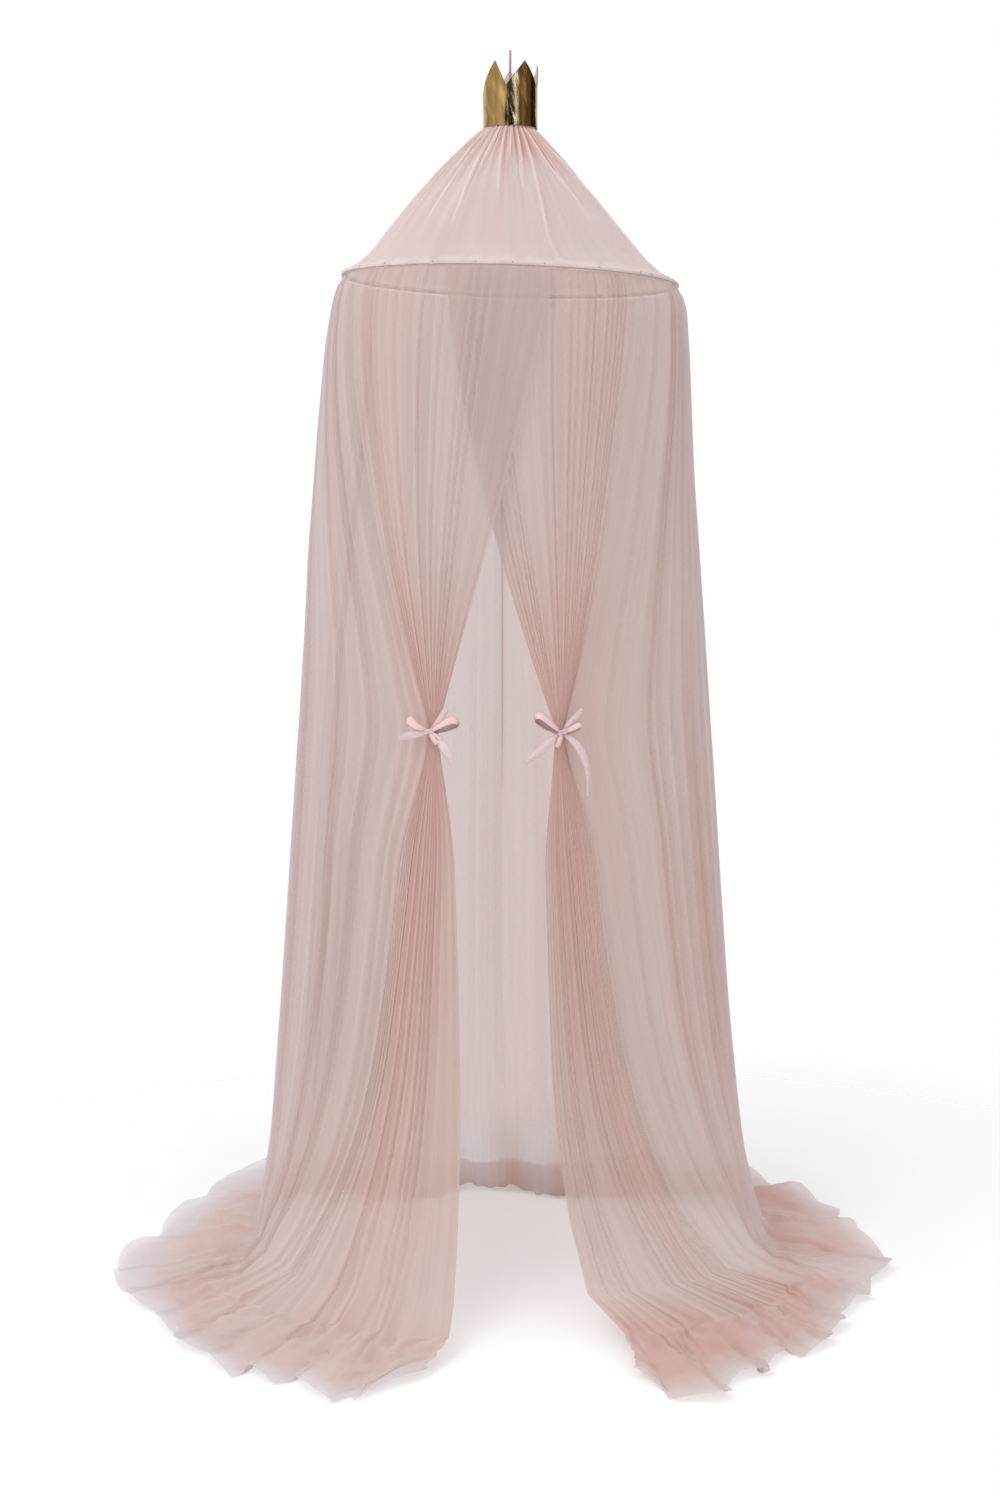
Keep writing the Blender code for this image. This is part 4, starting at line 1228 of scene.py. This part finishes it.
def wrap_object(side, material):
    """The ribbon's turn round the gathered net."""
    angle = side.sign * np.linspace(math.radians(100), math.radians(80 + 360), 40)
    place = np.linspace(-0.5, 0.5, 7)[:, None]
    bulge = 1 + 0.06 * np.cos(place * 6)
    points = stacked(WRAP_HALF_WIDTH * bulge * np.sin(angle),
                     -WRAP_HALF_DEPTH * bulge * np.cos(angle), place * WRAP_HEIGHT)
    uv = stacked(place * RIBBON_WIDTH, np.abs(angle) * 0.013)
    piece = sheet_object("wrap", points, uv, material)
    # Painted shade: the whole wrap half way to the shaded colour
    paint(piece, "under", np.full(points.shape[:2], 0.5))
    thicken(piece, WRAP_THICKNESS)
    return settled(piece)


def make_tie(side, ribbon, sheer_ribbon):
    """One bow, built round its knot and then moved to its place on the net."""
    pieces = [wrap_object(side, ribbon), knot_object(ribbon)]
    for part, material in (("loops", ribbon), ("short_ends", ribbon), ("long_ends", sheer_ribbon)):
        for number, stops in enumerate(BOW_PARTS[side.name][part]):
            pieces.append(ribbon_object(f"{part}_{number}", stops, material, part == "loops"))
    bow = joined(f"bow_{side.name}", pieces)
    angle = side.sign * math.radians(side.bow)
    spot = around(BOW_RADIUS, angle, BOW_HEIGHT)
    bow.data.transform(Matrix.Translation(Vector(spot)) @ Matrix.Rotation(angle, 4, "Z"))
    return bow


# Stage


def curved_card(name, start, end, radius, low, high, *light):
    """An upright card bent round the crown, seen only in reflections."""
    angle = np.radians(np.linspace(start, end, 24))
    points = around(radius, angle, HANG_HEIGHT + np.array([[low], [high]]))
    card = sheet_object(name, points, np.zeros((2, len(angle), 2)), glow(f"{name}_glow", *light))
    for ray in ("camera", "diffuse", "transmission", "volume_scatter", "shadow"):
        setattr(card, "visible_" + ray, False)


def make_light(name, place, target, size, power):
    data = bpy.data.lights.new(name, "AREA")
    data.shape = "DISK"
    data.size, data.energy = size, power
    light = linked(name, data)
    light.location = place
    light.rotation_euler = (Vector(target) - Vector(place)).to_track_quat("-Z", "Y").to_euler()


def make_camera():
    data = bpy.data.cameras.new("camera")
    data.lens, data.sensor_width = CAMERA_LENS, 36.0
    data.clip_end = 60.0
    camera = linked("camera", data)
    x, y, height = CAMERA_PLACE
    camera.location = (x, y, level(height))
    camera.rotation_euler = (math.pi / 2 - CAMERA_PITCH, 0.0, 0.0)
    bpy.context.scene.camera = camera


def make_floor(reach):
    bpy.ops.mesh.primitive_circle_add(vertices=96, radius=reach, fill_type="NGON")
    floor = bpy.context.object
    floor.name = "floor"
    floor.location.z = level(-0.0005)
    floor.data.materials.append(floor_finish(reach))


def make_world(strength, shaded_side):
    """Even white light all round, weaker from the viewer's right."""
    world = bpy.data.worlds.new("studio")
    world.use_nodes = True
    nodes, links = world.node_tree.nodes, world.node_tree.links
    background = nodes["Background"]
    background.inputs["Color"].default_value = (1.0, 1.0, 1.0, 1.0)
    way = nodes.new("ShaderNodeTexCoord")
    split = nodes.new("ShaderNodeSeparateXYZ")
    fade = nodes.new("ShaderNodeMapRange")
    links.new(way.outputs["Generated"], split.inputs[0])
    links.new(split.outputs[0], fade.inputs[0])
    links.new(fade.outputs[0], background.inputs["Strength"])
    for socket, value in enumerate((0.30, 0.95, strength, strength * shaded_side), start=1):
        fade.inputs[socket].default_value = value
    world.cycles.sampling_method = "NONE"
    bpy.context.scene.world = world


# Settings


def colour_setting(name, description, default):
    return bpy.props.FloatVectorProperty(
        name=name, description=description, default=default, size=3, min=0.0, max=1.0,
        subtype="COLOR",
    )


class CanopyClothSettings(bpy.types.PropertyGroup):
    """The net and the voile."""

    net_colour: colour_setting("Net colour", "Colour of the net's thread", (0.795, 0.657, 0.612))
    net_cover: bpy.props.FloatProperty(
        name="Net cover", description="How much of the light a flat layer of net stops",
        default=0.66, min=0.05, max=1.0, subtype="FACTOR",
    )
    gathered_colour: colour_setting(
        "Gathered net colour", "Colour of the net where a bow gathers it", (0.70, 0.485, 0.445)
    )
    hem_colour: colour_setting(
        "Hem colour", "Colour of the single layer of net at the hem", (0.78, 0.72, 0.75)
    )
    voile_colour: colour_setting(
        "Voile colour", "Colour of the pleated top", (0.755, 0.652, 0.635)
    )
    # Neck colour: partly the cloth the crown gathers, partly painted shade under the crown
    neck_colour: colour_setting(
        "Neck colour", "Colour of the voile where the crown gathers it", (0.71, 0.41, 0.38)
    )
    pleat_scale: bpy.props.FloatProperty(
        name="Pleat depth", description="Depth of the top's pleats against their usual depth",
        default=1.0, min=0.0, max=2.0, subtype="FACTOR",
    )


class CanopyTrimSettings(bpy.types.PropertyGroup):
    """The crown, cord, hoop, stitches and ribbon."""

    shaded_colour: colour_setting(
        "Shaded ribbon", "Colour of the ribbon's inner side and of its folds", (0.58, 0.40, 0.43)
    )
    gilt_colour: colour_setting("Gilt colour", "Colour of the gilt sheet", (0.62, 0.44, 0.20))
    crown_edge: colour_setting(
        "Crown edge", "Colour of the gilt sheet's cut edge", (0.10, 0.075, 0.05)
    )
    cord_colour: colour_setting("Cord colour", "Colour of the hanging loop", (0.42, 0.33, 0.35))
    hoop_colour: colour_setting(
        "Hoop colour", "Colour of the hoop in its casing", (0.70, 0.62, 0.60)
    )
    thread_colour: colour_setting(
        "Thread colour", "Colour of the casing's stitches", (0.11, 0.065, 0.055)
    )
    ribbon_colour: colour_setting("Ribbon colour", "Colour of the satin bows", (0.94, 0.72, 0.70))
    sheer_colour: colour_setting(
        "Ribbon end colour", "Colour of their thin ends", (0.90, 0.76, 0.77)
    )


class CanopyStageSettings(bpy.types.PropertyGroup):
    """Floor and light."""

    floor_reach: bpy.props.FloatProperty(
        name="Floor reach", description="How far the pale floor spreads before it has faded away",
        default=3.2, min=1.0, subtype="DISTANCE", unit="LENGTH",
    )
    daylight: bpy.props.FloatProperty(
        name="Daylight", description="Strength of the even white light from all round",
        default=1.0, min=0.0,
    )
    shaded_side: bpy.props.FloatProperty(
        name="Shaded side", description="Share of the daylight that comes from the viewer's right",
        default=0.80, min=0.0, max=1.0, subtype="FACTOR",
    )
    key_power: bpy.props.FloatProperty(
        name="Soft light", description="Power of the large soft light above the viewer",
        default=40.0, min=0.0, subtype="POWER", unit="POWER",
    )


# Operators


class CanopyStage(bpy.types.Operator):
    """Set up the floor, the soft light and the camera"""

    bl_idname = "canopy.stage"
    bl_label = "Stage"

    def execute(self, context):
        settings = context.scene.canopy_stage
        make_camera()
        make_floor(settings.floor_reach)
        make_world(settings.daylight, settings.shaded_side)
        make_light("soft_light", (-1.6, -2.6, 1.6), (0, 0, level(1.2)), 2.4, settings.key_power)
        for card in REFLECTIONS:
            curved_card(*card)
        context.scene.view_settings.view_transform = "Standard"
        cycles = context.scene.cycles
        cycles.max_bounces, cycles.diffuse_bounces, cycles.transparent_max_bounces = 8, 5, 48
        return {"FINISHED"}


class CanopyCord(bpy.types.Operator):
    """Twist the cord of the hanging loop"""

    bl_idname = "canopy.cord"
    bl_label = "Hanging loop"

    def execute(self, context):
        cord, route, length = make_hanging_loop(context.scene.canopy_trim.cord_colour)
        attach(cord, BODY)
        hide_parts("hanging_loop")
        return {"FINISHED"}


class CanopyCrown(bpy.types.Operator):
    """Cut and bend the gilt crown"""

    bl_idname = "canopy.crown"
    bl_label = "Crown"

    def execute(self, context):
        trim = context.scene.canopy_trim
        crown = make_crown(trim.gilt_colour, trim.crown_edge)
        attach(crown, BODY)
        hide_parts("crown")
        return {"FINISHED"}


class CanopyTop(bpy.types.Operator):
    """Pleat the voile top, stitch its casing and finish the hoop inside it"""

    bl_idname = "canopy.top"
    bl_label = "Voile top and hoop"

    def execute(self, context):
        settings, trim = context.scene.canopy_cloth, context.scene.canopy_trim
        top = make_top(settings.voile_colour, settings.neck_colour, settings.pleat_scale)
        seam = make_seam(trim.thread_colour)
        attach(top, BODY)
        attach(seam, BODY)
        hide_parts("voile_top")
        hoop = bpy.data.objects["hoop"]
        hoop.material_slots[0].material = plain_finish("hoop_tube", trim.hoop_colour, 0.45)
        return {"FINISHED"}


class CanopyNet(bpy.types.Operator):
    """Hang the net from the casing, draw it into the bows and let it fall on the floor"""

    bl_idname = "canopy.net"
    bl_label = "Net"

    def execute(self, context):
        settings = context.scene.canopy_cloth
        net = make_net(settings.net_colour, settings.net_cover, settings.gathered_colour,
                       settings.hem_colour)
        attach(net, BODY)
        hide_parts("net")
        return {"FINISHED"}


class CanopyBows(bpy.types.Operator):
    """Tie the two ribbon bows"""

    bl_idname = "canopy.bows"
    bl_label = "Ribbon bows"

    def execute(self, context):
        trim = context.scene.canopy_trim
        ribbon = satin("ribbon", trim.ribbon_colour, 1.0, trim.shaded_colour)
        sheer_ribbon = satin("ribbon_end", trim.sheer_colour, 0.62, trim.shaded_colour)
        for side in (LEFT, RIGHT):
            bow = make_tie(side, ribbon, sheer_ribbon)
            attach(bow, BODY)
            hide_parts(f"tie_{side.name}")
        return {"FINISHED"}


class CanopyPanel(bpy.types.Panel):
    """The canopy's settings and the buttons that make its pieces"""

    bl_idname = "VIEW3D_PT_canopy"
    bl_label = "Canopy"
    bl_space_type = "VIEW_3D"
    bl_region_type = "UI"
    bl_category = "Canopy"

    def draw(self, context):
        for group in ("canopy_stage", "canopy_cloth", "canopy_trim"):
            settings = getattr(context.scene, group)
            box = self.layout.box()
            for name in settings.bl_rna.properties.keys():
                if name not in ("rna_type", "name"):
                    box.prop(settings, name)
        for operator in OPERATORS:
            self.layout.operator(operator.bl_idname)


OPERATORS = (CanopyStage, CanopyCord, CanopyCrown, CanopyTop, CanopyNet, CanopyBows)
GROUPS = {
    "canopy_stage": CanopyStageSettings,
    "canopy_cloth": CanopyClothSettings,
    "canopy_trim": CanopyTrimSettings,
}


def register():
    for kind in (*GROUPS.values(), *OPERATORS, CanopyPanel):
        bpy.utils.register_class(kind)
    for name, kind in GROUPS.items():
        setattr(bpy.types.Scene, name, bpy.props.PointerProperty(type=kind))


def unregister():
    for name in GROUPS:
        delattr(bpy.types.Scene, name)
    for kind in (CanopyPanel, *reversed(OPERATORS), *reversed(GROUPS.values())):
        bpy.utils.unregister_class(kind)


def main():
    register()
    bpy.ops.canopy.stage()
    bpy.ops.canopy.cord()
    bpy.ops.canopy.crown()
    bpy.ops.canopy.top()
    bpy.ops.canopy.net()
    bpy.ops.canopy.bows()


if __name__ == "__main__":
    main()
